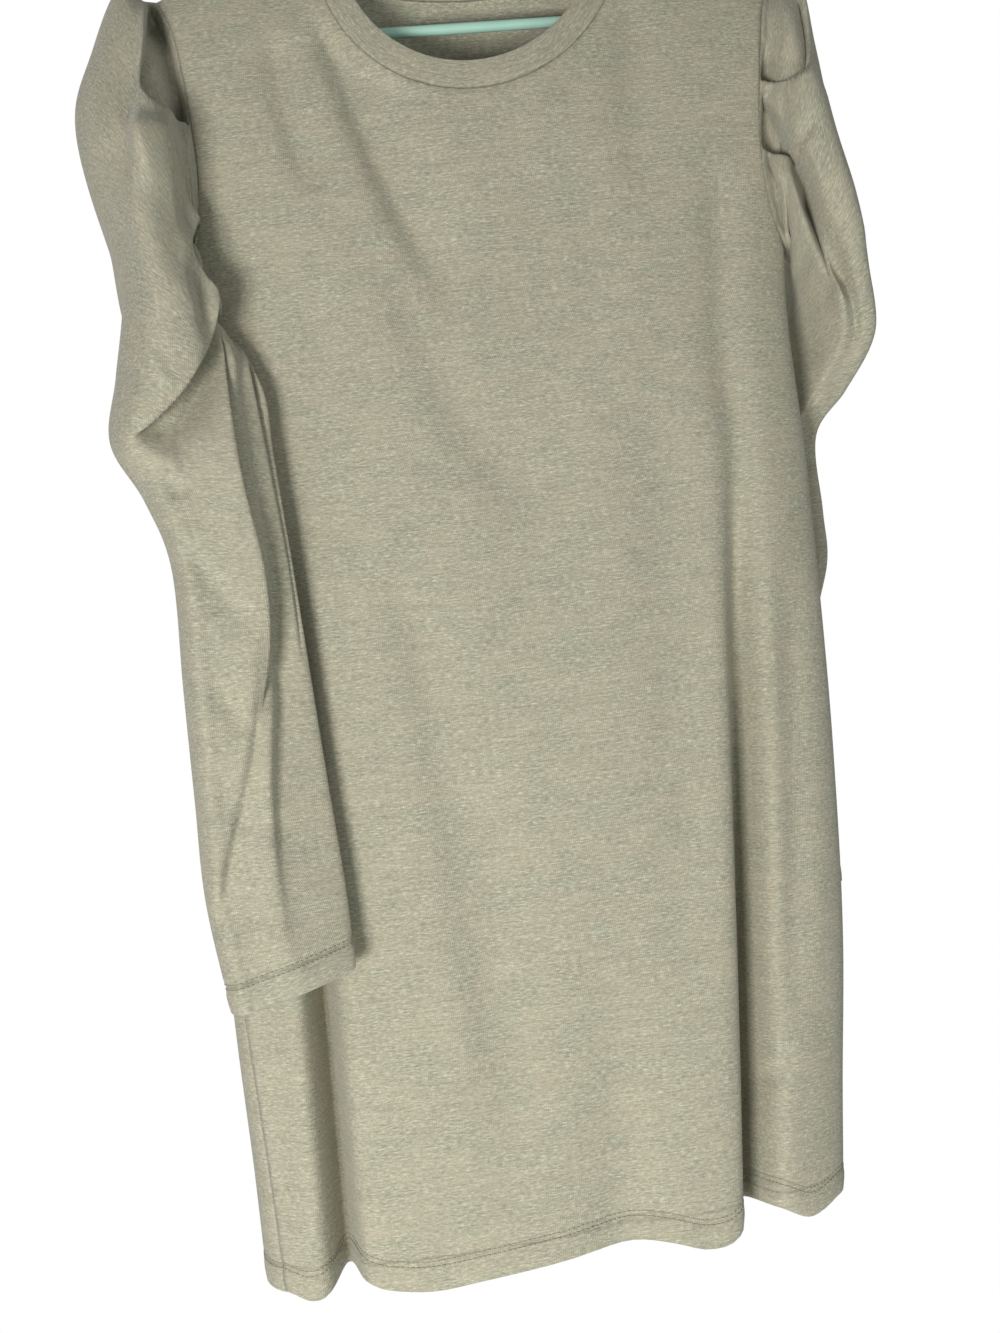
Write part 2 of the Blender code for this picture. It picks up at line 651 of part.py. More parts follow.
def make_hanger(material, dress, cutters):
    """The hanger as one body: its frame, with the hook fused to the top of the arms."""
    frame = mesh_copy(tube_curve("hanger", hanger_frame_points(), True), material)
    hook = mesh_copy(tube_curve("hook", hook_points(), False), material)
    dress.objects.link(frame)
    cutters.objects.link(hook)
    hook.hide_render = True
    hook.display_type = "WIRE"
    join = frame.modifiers.new("hook", "BOOLEAN")
    join.operation = "UNION"
    join.object = hook
    return frame


def main():
    """Builds the dress and its hanger."""
    for item in list(bpy.data.objects):
        bpy.data.objects.remove(item)
    dress = bpy.data.collections.new("sweater dress on a hanger")
    cutters = bpy.data.collections.new("cutters")
    bpy.context.scene.collection.children.link(dress)
    bpy.context.scene.collection.children.link(cutters)

    knit = plain_material("sage marl knit", KNIT_COLOUR, KNIT_ROUGHNESS)
    plastic = plain_material("mint moulded plastic", PLASTIC_COLOUR, PLASTIC_ROUGHNESS)

    sizes = (SHOULDER_STEPS, NECK_STEPS, YOKE_STEPS, SKIRT_STEPS)
    front = panel_points(-1.0, FRONT_FOLDS, *sizes)
    back = panel_points(1.0, BACK_FOLDS, *sizes)
    yoke = slice(0, YOKE_STEPS + 1)
    sleeves = []
    for side, table, column in ((-1.0, SLEEVE_LEFT, 0), (1.0, SLEEVE_RIGHT, -1)):
        loop = armhole_loop(front[yoke, column], back[yoke, column])
        sleeves.append(sleeve_points(table, side, loop, SLEEVE_SPAN_STEPS, SLEEVE_STEPS))
    band = band_points(NECK_STEPS, BAND_STEPS)
    front, back, left, right, band = open_seams(front, back, sleeves, band)

    pieces = (
        cloth_object("front", front, False, WALL, knit),
        cloth_object("back", back[:, ::-1], False, WALL, knit),
        cloth_object("sleeve_left", left[:, ::-1], True, WALL, knit),
        cloth_object("sleeve_right", right, True, WALL, knit),
        cloth_object("neckband", band, True, BAND_WALL, knit),
    )
    for piece in pieces:
        dress.objects.link(piece)
    make_hanger(plastic, dress, cutters)


main()
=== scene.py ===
# %% [markdown]
# # A sweater dress on a hanger
#
# The dress is a fine marled knit: a front, a back, two long sleeves pleated into the
# armholes and a doubled neckband. It hangs on a tubular plastic hanger. All the cloth is
# made here from a few curves, a row of sizes for each section, and listed folds.

# %% The imported frame
import math

import bmesh
import bpy
import numpy as np
from mathutils import Matrix, Vector, kdtree


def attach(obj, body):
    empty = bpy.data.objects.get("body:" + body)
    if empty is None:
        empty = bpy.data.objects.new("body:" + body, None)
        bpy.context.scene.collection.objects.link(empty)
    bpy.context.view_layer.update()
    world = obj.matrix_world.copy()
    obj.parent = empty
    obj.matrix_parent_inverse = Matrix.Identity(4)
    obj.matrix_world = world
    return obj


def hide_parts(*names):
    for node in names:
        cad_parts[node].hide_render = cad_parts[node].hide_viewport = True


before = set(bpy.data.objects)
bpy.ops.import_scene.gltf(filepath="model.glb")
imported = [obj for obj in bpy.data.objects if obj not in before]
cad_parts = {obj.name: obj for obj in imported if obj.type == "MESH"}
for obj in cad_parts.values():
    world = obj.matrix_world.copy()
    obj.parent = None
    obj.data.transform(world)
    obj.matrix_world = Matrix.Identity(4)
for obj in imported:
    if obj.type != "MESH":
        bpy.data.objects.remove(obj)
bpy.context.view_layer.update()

# %% [markdown]
# ## The dress's own millimetres
#
# A garment is easiest to describe lying on a table: x across it, y from front to back,
# and drop, the distance down from the points where the neck meets the shoulders. One
# function then hangs such points from the hook, which tips the dress a little.

# %% From the table to the hook
MM = 0.001
HANGER_TILT = math.radians(3.3)
SHOULDER_LEVEL = 104.0
HANGER_SHIFT = 6.0


def hang(points):
    """Turns (x, y, drop) in millimetres into metres in the world."""
    across = points[..., 0]
    placed = np.empty(points.shape)
    placed[..., 0] = across + HANGER_SHIFT
    placed[..., 1] = points[..., 1]
    placed[..., 2] = across * math.tan(HANGER_TILT) - points[..., 2] - SHOULDER_LEVEL
    return placed * MM


print("the hanger tips by", round(math.degrees(HANGER_TILT), 1), "degrees")


# %% Curves that the shapes are made from
def smooth(value):
    """An even step from 0 to 1."""
    value = np.clip(value, 0.0, 1.0)
    return value * value * (3.0 - 2.0 * value)


def bell(value):
    """1 at zero, falling evenly to either side."""
    return np.exp(-value * value)


def unit(vectors):
    """The vectors at length 1."""
    return vectors / np.maximum(np.linalg.norm(vectors, axis=-1, keepdims=True), 1e-9)


def through(keys, values, at):
    """Reads a smooth curve that runs through the values at the keys."""
    keys = np.asarray(keys, dtype=float)
    values = np.asarray(values, dtype=float)
    at = np.clip(at, keys[0], keys[-1])
    slopes = np.gradient(values, keys, axis=0)
    place = np.clip(np.searchsorted(keys, at, side="right") - 1, 0, len(keys) - 2)
    width = keys[place + 1] - keys[place]
    part = (at - keys[place]) / width
    if values.ndim > 1:
        extra = (1,) * (values.ndim - 1)
        part = part.reshape(part.shape + extra)
        width = width.reshape(width.shape + extra)
    rise = part * part * (3.0 - 2.0 * part)
    return (
        values[place] * (1.0 - rise)
        + values[place + 1] * rise
        + slopes[place] * width * part * (1.0 - part) ** 2
        - slopes[place + 1] * width * part * part * (1.0 - part)
    )


print("a curve through 0, 1 and 4 at 1.5:", float(through((0, 1, 2), (0, 1, 4), 1.5)))

# %% [markdown]
# ## The body
#
# Seen from above, a hanging dress is a flattened rounded tube. A table gives its width
# and its depths at each level. Near the top the cloth curves down from the hanger's
# arms, and a few deep folds run down from the bust to the hem. The left shoulder stands
# a little higher than a plain one, because the sleeve's pleats push it up.

# %% Sizes of the body, in millimetres
ROUNDNESS = 2.8
SHOULDER_SLOPE = math.tan(math.radians(19.0))
CENTRE_TOP = -3.0
SHOULDER_HALF = 219.0
NECK_HALF = 108.0
NECK_DROP_FRONT = 115.0
NECK_DROP_BACK = 30.0
BAND_WIDTH = 20.0
BAND_HALF = 91.0
NECK_SAG = -6.0
ARMPIT_DROP = 238.0
HEM_DROP = 913.0
ARCH_AT_NECK = 170.0
ARCH_AT_SLEEVE = 70.0
ROW_EASE = (1.2, 0.7)
EASE_WIDENS = (50.0, 60.0)
ARMHOLE = {
    "drop": (38, 62, 94, 120, 164, 198, 225, ARMPIT_DROP),
    "half": (219, 209, 203, 200, 197, 200, 208, 216),
}
BODY_COLUMNS = ("drop", "centre", "half", "front", "back", "left_wrap", "right_wrap")
BODY_ROWS = (
    (0, -3, 248, 27, 26, 0, 0),
    (60, -3, 243, 34, 31, 0, 0),
    (120, -3, 233, 41, 34, 0, 0),
    (180, -3, 223, 48, 36, 0, 0),
    (238, -3, 216, 53, 37, 0, 0),
    (400, 1, 219, 60, 42, 5, 0),
    (600, 5, 221, 66, 46, 12, -2),
    (740, 7, 217, 70, 48, 19, -4),
    (840, 7, 210, 72, 50, 22, -5),
    (913, 7, 206, 72, 50, 24, -6),
)

print("body levels", len(BODY_ROWS), "down to", BODY_ROWS[-1][0], "mm")

# %% Long folds, as valleys that the cloth beside them leans over
FOLD_COLUMNS = ("x_top", "x_hem", "starts", "full", "depth", "width", "roll", "roll_side")
FRONT_FOLDS = (
    (-160, -142, 330, 720, 44, 11.5, -6, 1),
    (164, 136, 250, 760, 50, 12, 6, -1),
    (47, 42, 560, 913, 10, 27, 0, 1),
)
BACK_FOLDS = (
    (-95, -110, 260, 800, 20, 17, 0, 1),
    (-20, -12, 420, 913, 12, 24, 0, 1),
    (110, 96, 240, 800, 22, 16, 0, 1),
)
ROLL_OFFSET = 1.5
ROLL_WIDTH = 0.9


def fold_columns(folds):
    """Each row of a fold table as a dictionary."""
    return [dict(zip(FOLD_COLUMNS, row)) for row in folds]


def fold_centre(fold, drop):
    """Where a fold's valley lies across the body."""
    down = np.clip((drop - fold["starts"]) / (HEM_DROP - fold["starts"]), 0.0, 1.0)
    return fold["x_top"] + (fold["x_hem"] - fold["x_top"]) * down


def fold_strength(fold, drop):
    """How far a fold has opened at a drop."""
    return smooth((drop - fold["starts"]) / (fold["full"] - fold["starts"]))


def folded(x, drop, folds):
    """Sideways and inward shifts that the folds make at a point of a panel."""
    aside = np.zeros_like(x)
    inward = np.zeros_like(x)
    for fold in fold_columns(folds):
        strength = fold_strength(fold, drop)
        offset = (x - fold_centre(fold, drop)) / fold["width"]
        leaning = (offset - ROLL_OFFSET * fold["roll_side"]) / ROLL_WIDTH
        inward += strength * fold["depth"] * bell(offset)
        aside += strength * fold["roll"] * bell(leaning)
    return aside, inward


print("long folds in front", len(FRONT_FOLDS), "and behind", len(BACK_FOLDS))


# %% The surface of the body
def body(column, drop):
    """One column of the body's table at a drop."""
    place = BODY_COLUMNS.index(column)
    return through([row[0] for row in BODY_ROWS], [row[place] for row in BODY_ROWS], drop)


def armhole_half(drop):
    """Half the body's width at the armhole seam."""
    return through(ARMHOLE["drop"], ARMHOLE["half"], drop)


def shoulder_line(x):
    """Drop of the line along the hanger's arms, continued over the neck."""
    return (np.abs(x - CENTRE_TOP) - NECK_HALF) * SHOULDER_SLOPE


def arch(x, drop):
    """How far the cloth has curved down from the hanger: 0 on top of it, 1 below."""
    from_neck = (np.abs(x - CENTRE_TOP) - NECK_HALF) / (SHOULDER_HALF - NECK_HALF)
    length = ARCH_AT_NECK + (ARCH_AT_SLEEVE - ARCH_AT_NECK) * smooth(from_neck)
    fallen = np.clip((drop - shoulder_line(x)) / length, 0.0, 1.0)
    return np.sqrt(1.0 - (1.0 - fallen) ** 2)


def lay(x, drop, facing):
    """Points of a panel, front (facing -1) or back (+1), seen from the front."""
    across = np.clip(np.abs(x - body("centre", drop)) / body("half", drop), 0.0, 1.0)
    depth = np.where(facing < 0, body("front", drop), body("back", drop))
    rounded = (1.0 - across**ROUNDNESS) ** (1.0 / ROUNDNESS)
    flat_y = facing * depth * rounded * arch(x, drop)
    front_aside, front_inward = folded(x, drop, FRONT_FOLDS)
    back_aside, back_inward = folded(x, drop, BACK_FOLDS)
    aside = np.where(facing < 0, front_aside, back_aside)
    inward = np.where(facing < 0, front_inward, -back_inward)
    return np.stack([x + aside, flat_y + inward, drop], axis=-1)


print("half width at the armpit", float(armhole_half(ARMPIT_DROP)), "mm")

# %% Rows of points over a panel
SHOULDER_STEPS = 16
NECK_STEPS = 76
YOKE_STEPS = 63
SKIRT_STEPS = 190
SPREAD_SAMPLES = 800
FOLD_REACH = 1.7
FOLD_GAIN = 0.06
SHOULDER_CROWDING = 1.6


def signed_power(value):
    """A sine or cosine bent to the tube's rounded cross-section."""
    return np.sign(value) * np.abs(value) ** (2.0 / ROUNDNESS)


def spread(low, high, drop, count, folds):
    """Angles from low to high round the tube, closer together where a fold is."""
    samples = np.linspace(low, high, SPREAD_SAMPLES)
    x = body("centre", drop) + body("half", drop) * signed_power(np.sin(samples))
    density = np.ones_like(samples)
    for fold in fold_columns(folds):
        near = bell((x - fold_centre(fold, drop)) / (FOLD_REACH * fold["width"]))
        density += FOLD_GAIN * fold["depth"] * fold_strength(fold, drop) * near
    total = np.cumsum(density)
    total = (total - total[0]) / (total[-1] - total[0])
    return np.interp(np.linspace(0.0, 1.0, count + 1), total, samples)


def neck_curve(turn, half, front_drop, back_drop, lift, facing):
    """A ring round the neck, by turn from the left shoulder (-90) to the right (90)."""
    lowest = np.where(facing < 0, front_drop, back_drop)
    sag = np.where(facing < 0, NECK_SAG, 0.0)
    x = CENTRE_TOP + half * np.sin(turn) + sag * np.cos(turn)
    return x, lift + (lowest - lift) * np.cos(turn)


def neck_seam(turn, facing):
    """The seam between the neckband and a panel."""
    return neck_curve(turn, NECK_HALF, NECK_DROP_FRONT, NECK_DROP_BACK, 0.0, facing)


def neck_edge(turn, facing):
    """The neckband's free edge."""
    lift = (BAND_HALF - NECK_HALF) * SHOULDER_SLOPE
    front_drop = NECK_DROP_FRONT - BAND_WIDTH
    back_drop = NECK_DROP_BACK - BAND_WIDTH
    return neck_curve(turn, BAND_HALF, front_drop, back_drop, lift, facing)


def neck_turns(steps):
    """Turns from the left shoulder to the right, closer together at the shoulders."""
    part = np.linspace(-1.0, 1.0, steps + 1)
    return np.sign(part) * 0.5 * math.pi * (1.0 - (1.0 - np.abs(part)) ** SHOULDER_CROWDING)


def panel_points(facing, folds):
    """A panel as rows of points from its top edge to its hem, left to right."""
    neck_x, neck_drop = neck_seam(neck_turns(NECK_STEPS), facing)
    out = np.linspace(1.0, 0.0, SHOULDER_STEPS + 1)[:-1]
    left_x = CENTRE_TOP - NECK_HALF - out * (SHOULDER_HALF - NECK_HALF)
    right_x = CENTRE_TOP + NECK_HALF + out[::-1] * (SHOULDER_HALF - NECK_HALF)
    top_x = np.concatenate([left_x, neck_x, right_x])
    top_drop = np.concatenate([shoulder_line(left_x), neck_drop, shoulder_line(right_x)])
    columns = len(top_x) - 1
    top_share = (top_x - CENTRE_TOP) / armhole_half(top_drop)
    angles = spread(-math.pi / 2, math.pi / 2, ARMPIT_DROP, columns, folds)
    low_share = signed_power(np.sin(angles))
    begins, length = EASE_WIDENS
    ease = ROW_EASE[0] + ROW_EASE[1] * smooth((np.abs(top_x - CENTRE_TOP) - begins) / length)
    rows = []
    for step in range(YOKE_STEPS + 1):
        part = step / YOKE_STEPS
        drop = top_drop + (ARMPIT_DROP - top_drop) * part**ease
        share = top_share + (low_share - top_share) * smooth(part)
        rows.append(lay(CENTRE_TOP + share * armhole_half(drop), drop, facing))
    for step in range(1, SKIRT_STEPS + 1):
        drop = ARMPIT_DROP + (HEM_DROP - ARMPIT_DROP) * step / SKIRT_STEPS
        rows.append(skirt_row(drop, facing, folds, columns))
    return np.array(rows)


def skirt_row(level, facing, folds, columns):
    """One level row of a panel below the armpits, from its left seam to its right."""
    left = math.pi / 2 + facing * math.radians(body("left_wrap", level))
    right = math.pi / 2 + facing * math.radians(body("right_wrap", level))
    angles = spread(-left, right, level, columns, folds)
    side = np.where(np.cos(angles) >= 0.0, facing, -facing)
    x = body("centre", level) + body("half", level) * signed_power(np.sin(angles))
    return lay(x, np.full(x.shape, level), side)


print("rows in a panel", YOKE_STEPS + SKIRT_STEPS + 1)

# %% The left shoulder, which the pleats push up, in millimetres
PUSH_UP = 15.0
PUSH_BEGINS = 120.0
PUSH_LENGTH = 90.0
PUSH_DROP = 75.0


def push_up(points):
    """Raises the cloth round the top of the left sleeve's seam."""
    outwards = smooth((-points[..., 0] - PUSH_BEGINS) / PUSH_LENGTH)
    near_top = bell(np.maximum(points[..., 2], 0.0) / PUSH_DROP)
    raised = points.copy()
    raised[..., 2] -= PUSH_UP * outwards * near_top
    return raised


flat_front = panel_points(-1.0, FRONT_FOLDS)
flat_back = panel_points(1.0, BACK_FOLDS)
front_base = push_up(flat_front)
back_base = push_up(flat_back)
print("panel grid", front_base.shape[:2])

# %% [markdown]
# ## The sleeves
#
# A puff sleeve is a long tube whose head is far wider than the armhole and is pleated
# into it. Here each sleeve is a stack of sections. A row of the table gives a section's
# outer and inner edges, its underside and two pleat edges, and a smooth closed curve
# runs through them.

# %% The sleeves' sections, in whole millimetres from the armhole to the wrist
SLEEVE_COLUMNS = (
    "outer_x", "outer_drop", "outer_y", "inner_x", "inner_drop", "inner_y",
    "heel_x", "heel_drop", "heel_y", "bow", "edge_1", "depth_1", "edge_2", "depth_2",
    "front", "back",
)
SLEEVE_LEFT = (
    (-249, 34, -5, -218, 246, -14, -243, 222, 22, 22, 0.36, 3, 0.68, 3, -52, 30),
    (-268, 72, -10, -207, 256, -28, -250, 238, 18, 27, 0.42, 8, 0.76, 7, -68, 28),
    (-279, 106, -18, -196, 266, -41, -253, 251, 12, 24, 0.47, 10, 0.80, 8, -82, 23),
    (-274, 146, -28, -186, 276, -51, -250, 262, 4, 14, 0.52, 10, 0.82, 8, -91, 14),
    (-261, 188, -38, -177, 288, -58, -243, 273, -5, 6, 0.54, 10, 0.82, 9, -98, 2),
    (-253, 238, -46, -169, 302, -63, -231, 288, -17, 2, 0.53, 11, 0.80, 11, -104, -12),
    (-259, 294, -54, -163, 321, -67, -215, 315, -33, 0, 0.48, 8, 0.77, 12, -107, -27),
    (-264, 338, -62, -161, 352, -69, -198, 350, -47, 0, 0.36, 3, 0.78, 12, -108, -39),
    (-244, 378, -66, -157, 390, -71, -187, 389, -56, 0, 0.30, 1, 0.76, 12, -106, -48),
    (-229, 424, -68, -152, 436, -73, -178, 435, -60, 0, 0.26, 0, 0.74, 12, -105, -52),
    (-226, 503, -70, -145, 506, -76, -172, 506, -63, 0, 0.24, 0, 0.66, 12, -105, -56),
    (-223, 575, -72, -138, 576, -78, -167, 576, -65, 0, 0.22, 0, 0.54, 9, -105, -58),
    (-220, 640, -75, -131, 642, -81, -162, 642, -68, 0, 0.20, 0, 0.50, 4, -104, -62),
    (-208, 712, -81, -128, 694, -86, -155, 701, -73, 0, 0.20, 0, 0.50, 0, -105, -68),
)
SLEEVE_RIGHT = (
    (240, 46, -2, 226, 250, 12, 231, 170, 32, 24, 0.36, 5, 0.68, 3, -46, 34),
    (246, 92, -4, 227, 262, 22, 232, 195, 42, 20, 0.44, 11, 0.72, 8, -56, 40),
    (252, 148, -4, 227, 272, 30, 232, 214, 50, 9, 0.46, 14, 0.72, 12, -58, 46),
    (263, 200, -2, 224, 284, 37, 231, 245, 56, 3, 0.42, 13, 0.66, 12, -54, 52),
    (270, 253, 0, 221, 298, 43, 231, 272, 62, 0, 0.32, 9, 0.54, 10, -46, 58),
    (277, 302, 6, 216, 316, 48, 230, 304, 68, 0, 0.24, 4, 0.46, 4, -28, 63),
    (262, 338, 20, 208, 344, 53, 222, 340, 73, 0, 0.20, 0, 0.46, 0, 0, 68),
    (243, 368, 36, 199, 374, 57, 212, 370, 78, 0, 0.20, 0, 0.48, 0, 24, 74),
    (248, 424, 44, 187, 426, 62, 206, 424, 84, 0, 0.20, 0, 0.48, 0, 34, 80),
    (251, 462, 49, 179, 472, 66, 202, 468, 88, 0, 0.20, 0, 0.48, 0, 40, 84),
    (241, 508, 54, 172, 522, 69, 194, 515, 91, 0, 0.20, 0, 0.48, 0, 46, 88),
    (238, 568, 58, 167, 582, 72, 190, 575, 94, 0, 0.20, 0, 0.48, 0, 50, 91),
    (245, 638, 62, 164, 646, 75, 190, 642, 97, 0, 0.20, 0, 0.48, 0, 54, 94),
    (253, 708, 66, 161, 708, 77, 192, 708, 99, 0, 0.20, 0, 0.48, 0, 57, 97),
)

print("sleeve sections", len(SLEEVE_LEFT), len(SLEEVE_RIGHT))

# %% A section as a smooth closed curve
LEDGE_SHARE = 0.08
VALLEY_SHARE = 0.45
UNDERARM_BULGE = 3.0
SEAM_LEAD = 9.0
LEAD_OUTWARD = 2.0
BODY_CLEARANCE = 5.0
YOKE_CLEARANCE_END = 20.0
CLEARS_FROM = 0.6  # in sections past the armhole
CONTROLS = 10
SPANS_ROUND_END = 3
ARMPIT_CONTROL = 6.0  # the control point at the armpit, where a sleeve's own seam runs
MARKS_PER_CONTROL = 3.0
FRONT_MARKS = (0, 1, 2, 3, 4, 6, 8, 11, 14, 18)  # thirds of a control, down the armhole
BACK_MARKS = (30, 29, 28, 27, 26, 25, 24, 23, 21, 18)
SLEEVE_AROUND = 210
SLEEVE_ALONG = 200


def ring_controls(row, side):
    """The points that a sleeve's section passes through, from a row of its table."""
    size = dict(zip(SLEEVE_COLUMNS, row))
    outer = np.array([size["outer_x"], size["outer_y"], size["outer_drop"]], dtype=float)
    inner = np.array([size["inner_x"], size["inner_y"], size["inner_drop"]], dtype=float)
    heel = np.array([size["heel_x"], size["heel_y"], size["heel_drop"]], dtype=float)

    def on_face(share, y):
        point = outer + (inner - outer) * share
        point[0] -= side * size["bow"] * 4.0 * share * (1.0 - share)
        point[1] = y
        return point

    y = size["front"]
    points = [outer, on_face(size["edge_1"] * 0.5, y)]
    for edge, depth in (("edge_1", "depth_1"), ("edge_2", "depth_2")):
        points.append(on_face(size[edge], y))
        y += size[depth]
        points.append(on_face(size[edge] + LEDGE_SHARE, y + VALLEY_SHARE * size[depth]))
    under = 0.5 * (inner + heel)
    under[1] += UNDERARM_BULGE
    behind = 0.5 * (outer + heel)
    behind[1] = size["back"]
    points.extend([inner, under, heel, behind])
    return np.array(points)


def closed_curve(points, at):
    """Reads a smooth closed curve through the points, at places counted in points."""
    count = len(points)
    after = np.roll(points, -1, axis=0)
    lengths = np.sqrt(np.linalg.norm(after - points, axis=1))
    keys = np.concatenate([[0.0], np.cumsum(lengths)])
    before = keys[-SPANS_ROUND_END - 1:-1] - keys[-1]
    beyond = keys[1:SPANS_ROUND_END + 1] + keys[-1]
    order = np.arange(-SPANS_ROUND_END, count + SPANS_ROUND_END + 1) % count
    places = np.interp(at, np.arange(count + 1), keys)
    return through(np.concatenate([before, keys, beyond]), points[order], places)


def clear_of_body(points, facing):
    """Moves a sleeve's points off the panel that they lie along."""
    x = points[..., 0]
    y = points[..., 1]
    drop = points[..., 2]
    beside_yoke = drop < ARMPIT_DROP + YOKE_CLEARANCE_END
    side = np.where(beside_yoke, np.sign(y), facing)
    half = np.where(drop < ARMPIT_DROP, armhole_half(drop), body("half", drop))
    inside = np.abs(x - body("centre", drop)) < half
    limit = lay(x, drop, side)[..., 1] + side * BODY_CLEARANCE
    cleared = points.copy()
    cleared[..., 1] = np.where(inside & (side * (y - limit) < 0.0), limit, y)
    return cleared


def armhole_loop(front_edge, back_edge, at):
    """Points round an armhole, at the same places as the sleeve's sections."""
    marks = np.linspace(0.0, len(FRONT_MARKS) - 1, len(front_edge))
    down = np.interp(marks, np.arange(len(FRONT_MARKS)), FRONT_MARKS) / MARKS_PER_CONTROL
    up = np.interp(marks, np.arange(len(BACK_MARKS)), BACK_MARKS) / MARKS_PER_CONTROL
    keys = np.concatenate([down, up[::-1][1:]])
    line = np.concatenate([front_edge, back_edge[::-1][1:]])
    return np.stack([np.interp(at, keys, line[:, axis]) for axis in range(3)], axis=-1)


def sleeve_base(table, side, loop, at):
    """A sleeve as rings of points from the armhole to the wrist."""
    rings = [closed_curve(ring_controls(row, side), at) for row in table]
    lead = unit(LEAD_OUTWARD * np.array([side, 0.0, 0.0]) + unit(rings[0] - loop))
    rings = np.array([loop, loop + SEAM_LEAD * lead] + rings)
    keys = np.arange(len(rings), dtype=float)
    points = through(keys, rings, np.linspace(0.0, keys[-1], SLEEVE_ALONG + 1))
    cleared = clear_of_body(points, side)
    blend = smooth(np.linspace(0.0, keys[-1], SLEEVE_ALONG + 1) - CLEARS_FROM)[:, None, None]
    return points + (cleared - points) * blend


around = np.arange(SLEEVE_AROUND) * CONTROLS / SLEEVE_AROUND
yoke = slice(0, YOKE_STEPS + 1)
left_loop = armhole_loop(flat_front[yoke, 0], flat_back[yoke, 0], around)
right_loop = armhole_loop(flat_front[yoke, -1], flat_back[yoke, -1], around)
left_base = push_up(sleeve_base(SLEEVE_LEFT, -1.0, left_loop, around))
right_base = sleeve_base(SLEEVE_RIGHT, 1.0, right_loop, around)
print("sleeve grid", left_base.shape[:2])

# %% [markdown]
# ## Folds and creases laid along listed paths
#
# A pleat edge is a sharp lip with cloth that steps back behind it. A drag line is only
# a soft trough. Both are drawn as short paths on the table, and each point of the cloth
# asks how far it lies from the path, and on which side.

# %% Distance from a path
PATH_SAMPLES = 40


def path_distance(points, path):
    """Signed distance from a path (left of its travel is positive), share and normal."""
    keys = np.linspace(0.0, 1.0, len(path))
    line = through(keys, np.array(path, dtype=float), np.linspace(0.0, 1.0, PATH_SAMPLES))
    starts = line[:-1]
    steps = line[1:] - starts
    flat = points[..., (0, 2)].reshape(-1, 1, 2)
    share = ((flat - starts) * steps).sum(axis=-1) / (steps * steps).sum(axis=-1)
    share = np.clip(share, 0.0, 1.0)
    offset = flat - starts - steps * share[..., None]
    distance = np.linalg.norm(offset, axis=-1)
    nearest = distance.argmin(axis=1)
    pick = np.arange(len(nearest))
    step = steps[nearest]
    away = offset[pick, nearest]
    side = -np.sign(step[:, 0] * away[:, 1] - step[:, 1] * away[:, 0])
    normal = unit(np.stack([step[:, 1], -step[:, 0]], axis=-1))
    along = (nearest + share[pick, nearest]) / (PATH_SAMPLES - 1)
    shape = points.shape[:-1]
    signed = (side * distance[pick, nearest]).reshape(shape)
    return signed, along.reshape(shape), normal.reshape(shape + (2,))


print("a path is followed in", PATH_SAMPLES - 1, "short steps")

# %% Laying pleats and creases
LIP_ENDS = 0.13  # share of a path over which a pleat dies away at each end
CREASE_ENDS = 0.22
LEAN_WIDTH = 1.5


def lay_pleats(points, weight, facing, pleats):
    """Steps the cloth back behind each lip and leans the lip over the step."""
    moved = points.copy()
    for path, depth, lip, fade, over in pleats:
        distance, along, normal = path_distance(points, path)
        ends = smooth(along / LIP_ENDS) * smooth((1.0 - along) / LIP_ENDS) * weight
        behind = smooth((distance + lip) / (2.0 * lip)) * bell(np.maximum(distance, 0.0) / fade)
        lean = bell((distance + lip) / (LEAN_WIDTH * lip))
        lean -= bell((distance - lip) / (LEAN_WIDTH * lip))
        moved[..., 1] -= facing * ends * depth * behind
        moved[..., 0] += ends * over * lean * normal[..., 0]
        moved[..., 2] += ends * over * lean * normal[..., 1]
    return moved


def lay_creases(points, weight, facing, creases):
    """Presses soft troughs into the cloth, or raises ridges where depth is negative."""
    moved = points.copy()
    for path, depth, left, right in creases:
        distance, along, _ = path_distance(points, path)
        ends = smooth(along / CREASE_ENDS) * smooth((1.0 - along) / CREASE_ENDS) * weight
        width = np.where(distance > 0.0, left, right)
        moved[..., 1] -= facing * ends * depth * bell(distance / width)
    return moved


print("ends of a pleat and of a crease fade over", LIP_ENDS, CREASE_ENDS, "of its path")

# %% The folds of the left sleeve: path, depth, lip, fade, lean
LEFT_PLEATS = (
    (((-227, -25), (-230, 60), (-234, 96), (-230, 113), (-217, 121), (-184, 122)),
     26, 3.0, 26, 4.0),
    (((-193, 134), (-198, 180), (-208, 214), (-200, 238), (-192, 252), (-199, 281),
      (-213, 309), (-234, 330), (-254, 346)), 20, 2.2, 22, 6.0),
    (((-191, 252), (-188, 313), (-182, 374), (-172, 430), (-171, 480), (-180, 528)),
     10, 2.0, 9, 3.0),
    (((-181, 240), (-173, 300), (-165, 360), (-156, 430), (-150, 500)), 6, 1.5, 6, 1.5),
)
LEFT_CREASES = (
    (((-246, 146), (-216, 140), (-176, 140)), -15, 12, 34),
    (((-235, -40), (-236, 60), (-239, 120), (-246, 200)), 9, 3.5, 13),
    (((-240, 268), (-234, 288), (-219, 314)), -1.6, 1.5, 4),
    (((-252, 352), (-236, 364), (-214, 384)), 6, 7, 9),
    (((-226, 404), (-203, 436), (-176, 476)), 4, 6, 10),
    (((-208, 498), (-196, 518), (-186, 536)), 4, 6, 8),
    (((-170, 450), (-184, 544), (-203, 612), (-218, 672)), 6, 17, 3),
    (((-213, 560), (-190, 590), (-160, 604)), 2.5, 8, 8),
    (((-262, 120), (-252, 200), (-250, 250)), 3, 10, 10),
    (((-226, 170), (-216, 200), (-214, 250)), 3, 10, 12),
    (((-206, 640), (-180, 655), (-150, 652)), 2, 7, 7),
)

